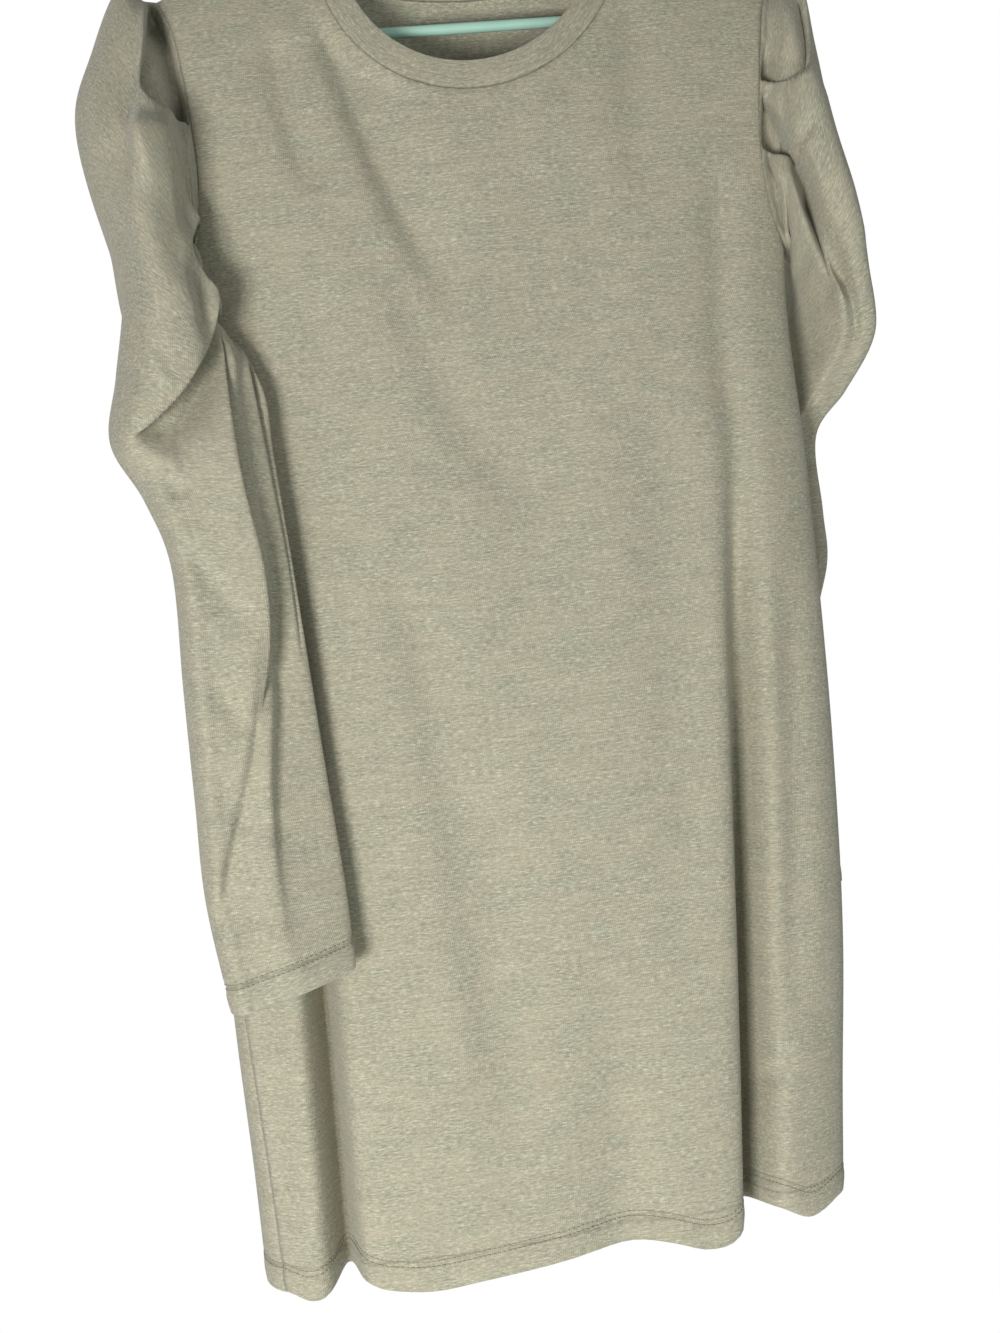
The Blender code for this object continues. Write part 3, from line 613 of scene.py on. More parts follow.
print("left sleeve: pleats", len(LEFT_PLEATS), "creases", len(LEFT_CREASES))

# %% The folds of the right sleeve
RIGHT_PLEATS = (
    (((180, 110), (203, 121), (214, 127), (226, 120), (234, 98), (236, 56), (233, -22)),
     20, 3.0, 21, 3.5),
    (((180, 160), (203, 171), (212, 176), (219, 180)), 16, 2.8, 15, 2.0),
    (((244, 290), (234, 228), (221, 184), (208, 148), (192, 116)), 14, 2.8, 15, 3.0),
    (((222, 262), (214, 232), (208, 204), (199, 168)), 8, 2.4, 10, 2.5),
)
RIGHT_CREASES = (
    (((196, 172), (212, 206), (230, 252), (252, 298)), -6, 9, 8),
    (((223, 196), (228, 226), (240, 256), (256, 284)), 8, 10, 8),
    (((231, 286), (230, 318), (233, 352)), 6, 7, 9),
    (((254, 236), (266, 268), (264, 306)), 3, 9, 9),
    (((238, 322), (250, 334), (262, 330)), 3, 6, 8),
    (((236, 60), (240, 100), (243, 140)), 3, 8, 10),
    (((236, 410), (240, 470), (234, 540)), 3, 7, 9),
    (((228, 590), (236, 640), (240, 700)), 2.5, 8, 8),
)

print("right sleeve: pleats", len(RIGHT_PLEATS), "creases", len(RIGHT_CREASES))

# %% Folds behind the sleeves, where the photograph shows none
LEFT_BACK_CREASES = (
    (((-232, 60), (-246, 140), (-240, 230)), 5, 9, 12),
    (((-252, 110), (-262, 170), (-252, 240)), 4, 8, 10),
    (((-238, 260), (-226, 340), (-214, 420)), 5, 9, 9),
    (((-236, 340), (-212, 366), (-182, 372)), 4, 7, 9),
    (((-206, 440), (-196, 520), (-200, 610)), 3, 9, 9),
    (((-186, 560), (-172, 620), (-170, 680)), 2.5, 8, 8),
)
RIGHT_BACK_CREASES = (
    (((222, 60), (236, 130), (240, 220)), 5, 8, 11),
    (((236, 90), (252, 170), (258, 260)), 4, 9, 10),
    (((264, 300), (240, 334), (214, 352)), 6, 8, 9),
    (((252, 330), (226, 372), (204, 384)), 4, 7, 8),
    (((222, 400), (216, 480), (208, 560)), 4, 10, 9),
    (((200, 560), (208, 620), (204, 690)), 3, 9, 9),
)

print("creases behind", len(LEFT_BACK_CREASES), len(RIGHT_BACK_CREASES))

# %% Putting the sleeves' folds in place
FRONT_FACE = (0.1, 5.9)  # where a sleeve's front runs, in controls
BACK_FACE = (6.6, 9.9)
FACE_EDGE = 0.5  # in controls, how far from a face's ends its folds have full depth
SEAM_HOLD = 5.0  # millimetres from a seam over which the folds die away


def arc_lengths(points, axis):
    """Length along the rows or columns of points, from the first."""
    steps = np.linalg.norm(np.diff(points, axis=axis), axis=-1)
    start = np.zeros_like(np.take(steps, [0], axis=axis))
    return np.concatenate([start, np.cumsum(steps, axis=axis)], axis=axis)


def fold_sleeve(base, pleats, creases, back_creases):
    """A sleeve with its front and back folds."""
    held = smooth(arc_lengths(base, 0) / SEAM_HOLD)
    front, behind = (
        held * smooth((around - first) / FACE_EDGE) * smooth((last - around) / FACE_EDGE)
        for first, last in (FRONT_FACE, BACK_FACE)
    )
    points = lay_creases(base, front, -1.0, creases)
    points = lay_pleats(points, front, -1.0, pleats)
    return lay_creases(points, behind, 1.0, back_creases)


left_points = fold_sleeve(left_base, LEFT_PLEATS, LEFT_CREASES, LEFT_BACK_CREASES)
right_points = fold_sleeve(right_base, RIGHT_PLEATS, RIGHT_CREASES, RIGHT_BACK_CREASES)
print("sleeve rows and columns", left_points.shape[:2], right_points.shape[:2])

# %% [markdown]
# ## Drag lines on the body
#
# The hanger holds the dress at the shoulders, so soft lines run from there towards the
# bust, and broad shallow waves go down to the hem between the deep folds.

# %% The body's creases: path, depth, width to its left, width to its right
FRONT_CREASES = (
    (((-114, 40), (-94, 107), (-72, 176), (-20, 300)), 11, 30, 11),
    (((-143, 60), (-140, 110), (-120, 190)), 6, 18, 10),
    (((-84, 200), (-40, 330), (20, 430)), 5, 26, 14),
    (((108, 45), (104, 120), (96, 210)), 4, 18, 14),
    (((160, 170), (154, 270), (150, 380)), 5, 14, 12),
    (((141, 866), (150, 826), (174, 800)), 4, 7, 5),
    (((193, 440), (183, 640), (168, 800)), 5, 13, 12),
    (((24, 130), (18, 320), (4, 540)), 4, 34, 30),
    (((-86, 430), (-70, 500), (-54, 620), (-40, 730), (-34, 830)), 6, 24, 13),
    (((98, 300), (104, 520), (90, 800)), 4.5, 28, 26),
    (((-30, 560), (-22, 740), (-30, 905)), 4, 22, 26),
    (((-120, 230), (-130, 330), (-126, 460)), 3, 18, 14),
    (((60, 150), (66, 230), (60, 330)), 2, 20, 20),
    (((-188, 620), (-186, 760), (-178, 900)), 4, 12, 12),
)
BACK_CREASES = (
    (((-60, 40), (-84, 150), (-96, 270)), 4, 14, 20),
    (((64, 40), (88, 150), (104, 260)), 4, 20, 14),
    (((6, 90), (0, 280), (-14, 470)), 3, 34, 34),
    (((-168, 300), (-170, 520), (-162, 800)), 5, 16, 18),
    (((168, 280), (172, 520), (160, 820)), 5, 18, 16),
    (((44, 420), (40, 640), (46, 900)), 4, 26, 26),
    (((-66, 480), (-62, 700), (-66, 900)), 3, 20, 22),
)


def border_distance(points, borders):
    """Distance in millimetres from each point to the nearest point of the borders."""
    line = np.concatenate([border.reshape(-1, 3) for border in borders])
    tree = kdtree.KDTree(len(line))
    for index, place in enumerate(line):
        tree.insert(place, index)
    tree.balance()
    flat = [tree.find(place)[2] for place in points.reshape(-1, 3)]
    return np.array(flat).reshape(points.shape[:-1])


def panel_seams(points):
    """Distance from a panel's sewn edges: its two sides and its top."""
    return border_distance(points, (points[:, 0], points[:, -1], points[0]))


PANEL_HOLD = 14.0
front_seam = panel_seams(front_base)
back_seam = panel_seams(back_base)
front_points = lay_creases(front_base, smooth(front_seam / PANEL_HOLD), -1.0, FRONT_CREASES)
back_points = lay_creases(back_base, smooth(back_seam / PANEL_HOLD), 1.0, BACK_CREASES)
print("body creases", len(FRONT_CREASES) + len(BACK_CREASES))

# %% [markdown]
# ## Turned-up hems and sewn seams
#
# A hem is the cloth itself, folded up once inside and stitched. The last rows of each
# piece are therefore repeated on its inner side. At a seam the stitches pull the cloth
# in by a fraction of a millimetre.

# %% Normals, hems and seam dips
HEM_WIDTH = 17.0
HEM_GAP = 2.0
HEM_ROUND = 0.9
STITCH_DIP = 0.8
STITCH_DIP_WIDTH = 2.2
HEM_SWELL = 0.7
SWELL_PLACE = 0.5  # as a share of the hem's width
SWELL_WIDTH = 0.35
SEAM_DIP = 0.7
SEAM_DIP_WIDTH = 3.0


def outward_normals(points, closed, sign):
    """Unit normals of a grid of points, turned to the outside by the sign."""
    if closed:
        wrapped = np.concatenate([points[:, -1:], points, points[:, :1]], axis=1)
        across = (wrapped[:, 2:] - wrapped[:, :-2])
    else:
        across = np.gradient(points, axis=1)
    down = np.gradient(points, axis=0)
    return sign * unit(np.cross(across, down))


def dip_seams(points, normals, seam):
    """Pulls the cloth in along its seams."""
    depth = SEAM_DIP * bell(seam / SEAM_DIP_WIDTH)
    return points - normals * depth[..., None]


def dip_stitching(points, normals):
    """Pulls the cloth in along the stitching of a hem, and lets it swell below."""
    height = arc_lengths(points[::-1], 0)[::-1]
    depth = STITCH_DIP * bell((height - HEM_WIDTH) / STITCH_DIP_WIDTH)
    depth -= HEM_SWELL * bell((height / HEM_WIDTH - SWELL_PLACE) / SWELL_WIDTH)
    return points - normals * depth[..., None]


def turned_up(points, normals):
    """The rows of the turned-up hem, from the fold upwards on the inner side."""
    heights = arc_lengths(points[::-1], 0)
    height = heights.mean(axis=1)
    rows = int(np.searchsorted(height, HEM_WIDTH)) + 1
    down = unit(points[-1] - points[-2])
    fold = points[-1] + down * HEM_ROUND - normals[-1] * HEM_GAP * 0.5
    inner = points[::-1][:rows] - normals[::-1][:rows] * HEM_GAP
    return np.concatenate([fold[None], inner])


print("hems", HEM_WIDTH, "mm deep, dipped", STITCH_DIP, "mm at the stitches")


# %% The cloth's own coordinates
def flat_map(points, down):
    """Where each point of a panel lies on the flat cloth, in metres."""
    steps = np.linalg.norm(np.diff(points[..., :2], axis=1), axis=-1)
    across = np.concatenate([np.zeros((len(points), 1)), np.cumsum(steps, axis=1)], axis=1)
    across -= across[:, across.shape[1] // 2, None]
    return np.stack([across, down], axis=-1) * MM


def ring_map(points):
    """Where each point of a sleeve lies on the flat cloth, with its seam at the armpit."""
    closed = np.concatenate([points, points[:, :1]], axis=1)
    across = arc_lengths(closed, 1)
    down = np.broadcast_to(arc_lengths(points, 0).mean(axis=1)[:, None], across.shape)
    return np.stack([across, down], axis=-1) * MM


# %% Building a piece of cloth
WALL = 1.5
CORNERS = 4


def grid_faces(rows, columns, closed):
    """Quads over rows of points, round a ring when closed."""
    faces = []
    for row in range(rows - 1):
        for column in range(columns if closed else columns - 1):
            following = (column + 1) % columns
            here = row * columns
            below = here + columns
            faces.append((here + column, below + column, below + following, here + following))
    return faces


def make_cloth(name, points, closed, cloth_map, seam, hem, sign):
    """A sheet of cloth with its wall, its own map and its distances from seam and hem."""
    rows, columns = points.shape[:2]
    faces = grid_faces(rows, columns, closed)
    if sign < 0.0:
        faces = [face[::-1] for face in faces]
    mesh = bpy.data.meshes.new(name)
    mesh.from_pydata(hang(points).reshape(-1, 3).tolist(), [], faces)
    for label, values in (("seam", seam), ("hem", hem)):
        attribute = mesh.attributes.new(label, "FLOAT", "POINT")
        attribute.data.foreach_set("value", (values * MM).astype(np.float32).ravel())
    layer = mesh.uv_layers.new(name="cloth")
    corners = np.empty(len(mesh.loops), dtype=np.int32)
    mesh.loops.foreach_get("vertex_index", corners)
    row, column = np.divmod(corners, columns)
    shift = 0.0
    if closed:
        face = np.arange(len(corners)) // CORNERS
        face_columns = column.reshape(-1, CORNERS)
        last = (face_columns.max(axis=1) == columns - 1) & (face_columns.min(axis=1) == 0)
        column = np.where(last[face] & (column == 0), columns, column)
        past_armpit = face_columns.min(axis=1) >= columns * ARMPIT_CONTROL / CONTROLS
        shift = cloth_map[row, -1, 0] * (past_armpit | last)[face]
    uv = cloth_map[row, column].copy()
    uv[:, 0] -= shift
    layer.data.foreach_set("uv", uv.astype(np.float32).ravel())
    mesh.shade_smooth()
    mesh.materials.append(knit)
    piece = bpy.data.objects.new(name, mesh)
    bpy.context.scene.collection.objects.link(piece)
    wall = piece.modifiers.new("wall", "SOLIDIFY")
    wall.thickness = WALL * MM
    wall.offset = 0.0
    return piece


print("the cloth's wall is", WALL, "mm thick")

# %% [markdown]
# ## Materials
#
# The knit is a fine single jersey of marled yarn: two or three shades twisted together,
# so every course is a thin streak of uneven colour. Seen close it has fine ribs. It is
# matt, with a short nap that catches light at grazing angles.

# %% Colours and a helper for nodes
def linear(colour):
    """A hex sRGB colour as linear RGBA."""
    values = [int(colour[place:place + 2], 16) / 255.0 for place in (1, 3, 5)]
    values = [v / 12.92 if v <= 0.04045 else ((v + 0.055) / 1.055) ** 2.4 for v in values]
    return (*values, 1.0)


def add(tree, kind, settings=None):
    """Adds a node. A setting is one of its properties, or an input's value or link."""
    node = tree.nodes.new(kind)
    for key, value in (settings or {}).items():
        if isinstance(key, str) and key not in node.inputs:
            setattr(node, key, value)
        elif isinstance(value, bpy.types.NodeSocket):
            tree.links.new(value, node.inputs[key])
        else:
            node.inputs[key].default_value = value
    return node


def new_material(name):
    """A material and its tree, still empty."""
    material = bpy.data.materials.new(name)
    material.use_nodes = True
    material.node_tree.nodes.clear()
    return material, material.node_tree


print("middle grey in linear light", round(linear("#808080")[0], 3))

# %% The yarn's shades and patterns
SHADE_DARK = "#8c8d79"
SHADE_MID = "#b1b19d"
SHADE_PALE = "#d8d4c1"
SHADE_BEIGE = "#c0b19c"
SHADE_FLECK = "#e4dfcb"
COURSE = 1.0  # height of a course in mm; the real one is near 0.7, too fine to show
WALE = 1.3  # width of a rib in mm, drawn coarser than the real one for the same reason
WALE_RUN = 40.0  # millimetres over which a rib wanders
WAVE_SPAN = 3.2  # ribs that the wave texture draws in one of its units
HEM_LINE = 0.017  # metres from a hem's fold to its stitching

# Width and height of each pattern's cells in millimetres, and the noise's detail
PATTERNS = {
    "grain": (4.2, COURSE, 3.0),
    "streak": (22.0, 1.9, 2.0),
    "band": (60.0, 7.0, 2.0),
    "cloud": (34.0, 26.0, 2.0),
    "fleck": (2.2, COURSE, 1.0),
}
# A pattern, where its shade begins and is full, the most that it covers, and the shade
SHADES = (
    ("grain", 0.32, 0.60, 1.0, SHADE_MID),
    ("grain", 0.56, 0.78, 1.0, SHADE_PALE),
    ("cloud", 0.3, 0.75, 0.38, SHADE_BEIGE),
    ("fleck", 0.6, 0.74, 0.5, SHADE_FLECK),
)
# What lightens or darkens the cloth, where that begins and is full, and by how much.
# Streak and band are the yarn's own tone; seam and hem line are painted shade in the
# grooves along the seams and along the hem's stitching.
DULLEST = 0.8
BRIGHTNESS = (
    ("streak", 0.3, 0.7, "ADD", 0.22),
    ("band", 0.3, 0.7, "ADD", 0.08),
    # painted shade in the seams' grooves and in the dip along the hem's stitching
    ("seam", 0.0012, 0.0, "SUBTRACT", 0.35),
    ("hem line", 0.0016, 0.0, "SUBTRACT", 0.22),
)
WALE_RISE = 0.35  # heights in the bump, where the grain's is 1
STREAK_RISE = 0.6
print("yarn patterns", len(PATTERNS), "shades", len(SHADES) + 1)


# %% The marled knit
def stretched_noise(tree, source, width, height, detail):
    """Noise drawn out to streaks of a width and height in millimetres."""
    scale = (1.0 / (width * MM), 1.0 / (height * MM), 1.0)
    scaled = add(tree, "ShaderNodeVectorMath", {"operation": "MULTIPLY", 0: source, 1: scale})
    noise = add(tree, "ShaderNodeTexNoise", {
        "Vector": scaled.outputs[0], "Scale": 1.0, "Detail": detail, "Roughness": 0.6,
    })
    return noise.outputs["Fac"]


def knit_patterns(tree, cloth):
    """The knit's patterns, and its distances from a seam and from a hem's stitching."""
    patterns = {label: stretched_noise(tree, cloth, *PATTERNS[label]) for label in PATTERNS}
    seam = add(tree, "ShaderNodeAttribute", {"attribute_name": "seam"})
    hem = add(tree, "ShaderNodeAttribute", {"attribute_name": "hem"})
    above = add(
        tree, "ShaderNodeMath", {"operation": "SUBTRACT", 0: hem.outputs["Fac"], 1: HEM_LINE}
    )
    off_line = add(tree, "ShaderNodeMath", {"operation": "ABSOLUTE", 0: above.outputs[0]})
    # these two distances place the painted shade along the seams and the hem's stitching
    patterns["seam"] = seam.outputs["Fac"]
    patterns["hem line"] = off_line.outputs[0]
    return patterns


def knit_colour(tree, patterns):
    """The yarn's shades laid over each other, lightened by streaks and bands, and darkened by
    painted shade along the seams and the hem's stitching.
    """
    colour = linear(SHADE_DARK)
    for label, low, high, cover, shade in SHADES:
        amount = add(tree, "ShaderNodeMapRange", {
            "Value": patterns[label], "From Min": low, "From Max": high, "To Max": cover,
        })
        colour = add(tree, "ShaderNodeMix", {
            "data_type": "RGBA", 0: amount.outputs[0], 6: colour, 7: linear(shade),
        }).outputs[2]
    light = DULLEST
    # streak and band are the yarn's own tone; seam and hem line paint shade into the colour
    for label, low, high, operation, change in BRIGHTNESS:
        amount = add(tree, "ShaderNodeMapRange", {
            "Value": patterns[label], "From Min": low, "From Max": high, "To Max": change,
        })
        light = add(tree, "ShaderNodeMath", {
            "operation": operation, 0: light, 1: amount.outputs[0],
        }).outputs[0]
    lit = {"data_type": "RGBA", "blend_type": "MULTIPLY", 0: 1.0, 6: colour, 7: light}
    return add(tree, "ShaderNodeMix", lit).outputs[2]


def knit_relief(tree, cloth, patterns):
    """The bump of fine ribs, courses and uneven yarn."""
    scale = (1.0 / (WALE * MM * WAVE_SPAN), 1.0 / (WALE_RUN * MM), 1.0)
    scaled = add(tree, "ShaderNodeVectorMath", {"operation": "MULTIPLY", 0: cloth, 1: scale})
    wales = add(tree, "ShaderNodeTexWave", {
        "Vector": scaled.outputs[0], "Scale": 1.0, "Distortion": 0.6, "Detail": 1.0,
    })
    height = patterns["grain"]
    for source, rise in ((wales.outputs["Fac"], WALE_RISE), (patterns["streak"], STREAK_RISE)):
        height = add(tree, "ShaderNodeMath", {
            "operation": "MULTIPLY_ADD", 0: source, 1: rise, 2: height,
        }).outputs[0]
    return add(tree, "ShaderNodeBump", {"Strength": 0.55, "Distance": 0.0006, "Height": height})


def knit_material(name):
    """Marled jersey: streaks along the courses, pale flecks and fine ribs."""
    material, tree = new_material(name)
    cloth = add(tree, "ShaderNodeUVMap", {"uv_map": "cloth"}).outputs["UV"]
    patterns = knit_patterns(tree, cloth)
    bump = knit_relief(tree, cloth, patterns)
    shader = add(tree, "ShaderNodeBsdfPrincipled", {
        "Roughness": 0.92, "Specular IOR Level": 0.25, "Sheen Weight": 0.25,
        "Sheen Roughness": 0.45, "Base Color": knit_colour(tree, patterns),
        "Normal": bump.outputs["Normal"],
    })
    add(tree, "ShaderNodeOutputMaterial", {"Surface": shader.outputs[0]})
    return material


knit = knit_material("marled jersey knit")
print("nodes in the knit", len(knit.node_tree.nodes))

# %% Thread and plastic
THREAD_CELLS = 900.0  # uneven places in a metre of thread
PLASTIC_CELLS = 30.0
MINT = "#b9e2d2"
MINT_SHADE = "#a9d6c4"


def thread_material(name, colour):
    """Spun polyester thread: smooth, with a soft gloss and slight unevenness."""
    material, tree = new_material(name)
    place = add(tree, "ShaderNodeTexCoord").outputs["Object"]
    noise = add(tree, "ShaderNodeTexNoise", {"Scale": THREAD_CELLS, "Vector": place})
    shade = add(tree, "ShaderNodeMix", {
        "data_type": "RGBA", 0: noise.outputs["Fac"], 6: linear(colour), 7: linear(SHADE_DARK),
    })
    shader = add(tree, "ShaderNodeBsdfPrincipled", {
        "Roughness": 0.6, "Sheen Weight": 0.2, "Base Color": shade.outputs[2],
    })
    add(tree, "ShaderNodeOutputMaterial", {"Surface": shader.outputs[0]})
    return material


def plastic_material(name):
    """Moulded polypropylene: even colour, satin gloss and a faint waviness."""
    material, tree = new_material(name)
    place = add(tree, "ShaderNodeTexCoord").outputs["Object"]
    cloud = add(
        tree, "ShaderNodeTexNoise", {"Scale": PLASTIC_CELLS, "Detail": 2.0, "Vector": place}
    ).outputs["Fac"]
    shade = add(tree, "ShaderNodeMix", {
        "data_type": "RGBA", 0: cloud, 6: linear(MINT), 7: linear(MINT_SHADE),
    })
    bump = add(tree, "ShaderNodeBump", {"Strength": 0.2, "Distance": 0.0004, "Height": cloud})
    shader = add(tree, "ShaderNodeBsdfPrincipled", {
        "Roughness": 0.3, "IOR": 1.49, "Specular IOR Level": 0.5,
        "Base Color": shade.outputs[2], "Normal": bump.outputs["Normal"],
    })
    add(tree, "ShaderNodeOutputMaterial", {"Surface": shader.outputs[0]})
    return material


hem_thread = thread_material("sage sewing thread", "#a3a288")
overlock_thread = thread_material("cream overlock thread", "#e3dcc4")
mint_plastic = plastic_material("moulded mint polypropylene")
print("also made", hem_thread.name, overlock_thread.name, mint_plastic.name)

# %% [markdown]
# ## The pieces of the dress
#
# Each panel takes its folds, is pulled in at its seams, and gets its turned-up hem. The
# edges of neighbours share the same points, so the seams are closed.

# %% The front and the back
FRONT_SWAY = ((-200, 0), (-160, 3), (-141, -6), (-118, 0), (-92, 4), (-55, 2), (-15, -1),
              (25, -4), (55, -5), (78, 0), (98, 7), (118, 6), (134, -4), (152, -8), (178, 3),
              (200, -2))
BACK_SWAY = ((-200, -1), (-150, 3), (-105, -4), (-60, 4), (-15, -3), (40, 4), (96, -4),
             (150, 3), (200, -1))
SWAY_HEIGHT = 70.0
SWAY_HOLD = 20.0


def sway_hem(points, seam, sway):
    """Lets the hem rise and fall by the table, less and less further up."""
    places, drops = np.array(sway, dtype=float).T
    fall = through(places, drops, points[..., 0])
    near_hem = bell((HEM_DROP - points[..., 2]) / SWAY_HEIGHT)
    swayed = points.copy()
    swayed[..., 2] += fall * near_hem * smooth(seam / SWAY_HOLD)
    return swayed


def make_hemmed(name, points, normals, seam, down, end, sign, closed):
    """Cloth with its hem turned up; down and end are places along the flat cut."""
    hem_rows = turned_up(points, normals)
    full = np.concatenate([points, hem_rows])
    full_seam = np.concatenate([seam, seam[-1:], seam[::-1][:len(hem_rows) - 1]])
    full_down = np.concatenate([down, end + arc_lengths(hem_rows, 0)])
    cloth_map = ring_map(full) if closed else flat_map(full, full_down)
    hem = np.abs(end - full_down)
    return make_cloth(name, full, closed, cloth_map, full_seam, hem, sign)


def make_panel(name, points, seam, sway, sign):
    """A front or back with its hem."""
    points = sway_hem(points, seam, sway)
    normals = outward_normals(points, False, sign)
    points = dip_stitching(dip_seams(points, normals, seam), normals)
    down = points[..., 2]
    piece = make_hemmed(name, points, normals, seam, down, HEM_DROP, sign, False)
    return piece, points, normals


dress_front, front_final, front_normals = make_panel(
    "dress_front", front_points, front_seam, FRONT_SWAY, 1.0
)
dress_back, back_final, back_normals = make_panel(
    "dress_back", back_points, back_seam, BACK_SWAY, -1.0
)
print("front and back faces", len(dress_front.data.polygons), len(dress_back.data.polygons))


# %% The sleeves
def make_sleeve(name, points, sign):
    """A sleeve with its cuff hem."""
    normals = outward_normals(points, True, sign)
    down = arc_lengths(points, 0)
    column = int(SLEEVE_AROUND * ARMPIT_CONTROL / CONTROLS)
    own_seam = np.linalg.norm(points - points[:, column:column + 1], axis=-1)
    seam = np.minimum(down, own_seam)
    points = dip_stitching(dip_seams(points, normals, seam), normals)
    piece = make_hemmed(name, points, normals, seam, down, down[-1], sign, True)
    return piece, points, normals


sleeve_left, left_final, left_normals = make_sleeve("sleeve_left_cloth", left_points, 1.0)
sleeve_right, right_final, right_normals = make_sleeve("sleeve_right_cloth", right_points, -1.0)
print("sleeve faces", len(sleeve_left.data.polygons), len(sleeve_right.data.polygons))

# %% [markdown]
# ## The neckband
#
# The neckband is a doubled strip, sewn on folded, so its free edge is a fold. It is a
# thicker ring with rounded edges, and it stands up slightly from the panels.

# %% The neckband ring
BAND_WALL = 2.6
BAND_ROUND = 240
BAND_UP = 10
BAND_PUFF = 0.5
BAND_EDGE = 0.9
NO_HEM = 1000.0  # a distance too far from any hem to show


def band_points():
    """The neckband as rings of points, from its seam to its free edge."""
    turns = neck_turns(BAND_ROUND // 2)
    rings = []
    for part in np.linspace(0.0, 1.0, BAND_UP + 1):
        halves = []
        for facing in (-1.0, 1.0):
            seam_x, seam_drop = neck_seam(turns, facing)
            edge_x, edge_drop = neck_edge(turns, facing)
            x = seam_x + (edge_x - seam_x) * part
            halves.append(lay(x, seam_drop + (edge_drop - seam_drop) * part, facing))
        ring = np.concatenate([halves[0][:-1], halves[1][::-1][:-1]])
        rings.append(ring)
    return np.array(rings)


def make_band(name):
    """The band with its wall and rounded edges."""
    points = band_points()
    normals = outward_normals(points, True, -1.0)
    swell = BAND_PUFF * np.sin(np.linspace(0.0, math.pi, BAND_UP + 1)) ** 0.5
    points = points + normals * swell[:, None, None]
    seam = arc_lengths(points, 0)
    no_hem = np.full_like(seam, NO_HEM)
    piece = make_cloth(name, points, True, ring_map(points), seam, no_hem, -1.0)
    piece.modifiers["wall"].thickness = BAND_WALL * MM
    edge = piece.modifiers.new("rounded edges", "BEVEL")
    edge.width = BAND_EDGE * MM
    edge.segments = 3
    edge.limit_method = "ANGLE"
    edge.angle_limit = math.radians(60.0)
    return piece


neckband = make_band("neckband_cloth")
print("neckband faces", len(neckband.data.polygons))

# %% [markdown]
# ## Stitches
#
# Hems are sewn with two parallel rows of thread. One stitch is a tiny capsule, and a
# node tree sets copies of it along a curve at an even spacing, so a whole hem is a
# curve and a few numbers.

# %% The stitching tree
STITCH_SIDES = 6
SHORTEST_STITCH = 0.88  # against the stitch length
LONGEST_STITCH = 1.1


def stitching_tree():
    """Geometry Nodes that set stitches along a curve."""
    tree = bpy.data.node_groups.new("stitches along a curve", "GeometryNodeTree")
    face = tree.interface
    face.new_socket("Geometry", in_out="INPUT", socket_type="NodeSocketGeometry")
    for label, value in (("Spacing", 0.0032), ("Length", 0.0024), ("Thickness", 0.0005)):
        socket = face.new_socket(label, in_out="INPUT", socket_type="NodeSocketFloat")
        socket.default_value = value
    seed = face.new_socket("Seed", in_out="INPUT", socket_type="NodeSocketInt")
    seed.default_value = 7
    face.new_socket("Thread", in_out="INPUT", socket_type="NodeSocketMaterial")
    face.new_socket("Geometry", in_out="OUTPUT", socket_type="NodeSocketGeometry")
    source = add(tree, "NodeGroupInput").outputs
    stitch = add(tree, "GeometryNodeMeshCylinder", {
        "Vertices": STITCH_SIDES, "Side Segments": 1,
        "Radius": source["Thickness"], "Depth": source["Length"],
    })
    spots = add(tree, "GeometryNodeCurveToPoints", {
        "mode": "LENGTH", "Curve": source["Geometry"], "Length": source["Spacing"],
    })
    size = add(tree, "FunctionNodeRandomValue", {
        "data_type": "FLOAT", 2: SHORTEST_STITCH, 3: LONGEST_STITCH, "Seed": source["Seed"],
    })
    copies = add(tree, "GeometryNodeInstanceOnPoints", {
        "Points": spots.outputs["Points"], "Instance": stitch.outputs["Mesh"],
        "Rotation": spots.outputs["Rotation"], "Scale": size.outputs[1],
    })
    real = add(tree, "GeometryNodeRealizeInstances", {"Geometry": copies.outputs[0]})
    dyed = add(tree, "GeometryNodeSetMaterial", {
        "Geometry": real.outputs[0], "Material": source["Thread"],
    })
    add(tree, "NodeGroupOutput", {"Geometry": dyed.outputs[0]})
    return tree


stitches = stitching_tree()
print("nodes in the stitching tree", len(stitches.nodes))


def sew(name, lines, cyclic, thread, sizes):
    """A mesh of stitches along lines of points in the dress's millimetres."""
    curve = bpy.data.curves.new(name + "_path", "CURVE")
    curve.dimensions = "3D"
    for line in lines:
        spline = curve.splines.new("POLY")
        spline.use_cyclic_u = cyclic
        spline.points.add(len(line) - 1)
        for point, place in zip(spline.points, hang(line)):
            point.co = (*place, 1.0)
    guide = bpy.data.objects.new(name + "_path", curve)
    bpy.context.scene.collection.objects.link(guide)
    modifier = guide.modifiers.new("stitches", "NODES")
    modifier.node_group = stitches
    inputs = {item.name: item.identifier for item in stitches.interface.items_tree
              if item.in_out == "INPUT"}
    for label, value in {**sizes, "Thread": thread}.items():
        modifier[inputs[label]] = value
    graph = bpy.context.evaluated_depsgraph_get()
    mesh = bpy.data.meshes.new_from_object(guide.evaluated_get(graph))
    bpy.data.objects.remove(guide)
    mesh.shade_smooth()
    piece = bpy.data.objects.new(name, mesh)
    bpy.context.scene.collection.objects.link(piece)
    print(name, "stitch faces", len(mesh.polygons))
    return piece


# %% Stitches along the hems
STITCH_ROWS = (15.5, 19.0)  # millimetres above the hem's fold
STITCH_PROUD = 0.1
HEM_STITCH = {"Spacing": 0.0034, "Length": 0.0026, "Thickness": 0.00042, "Seed": 7}


def line_above_hem(points, normals, height):
    """A line of points that follows the hem at a height above it."""
    heights = arc_lengths(points[::-1], 0)
    line = []
    for column in range(points.shape[1]):
        place = np.interp(height, heights[:, column], np.arange(len(points)))
        row = int(place)
        part = place - row
        upper = points[::-1][row + 1, column]
        lower = points[::-1][row, column]
        normal = normals[::-1][row, column]
        line.append(lower + (upper - lower) * part + normal * (0.5 * WALL + STITCH_PROUD))
    return np.array(line)


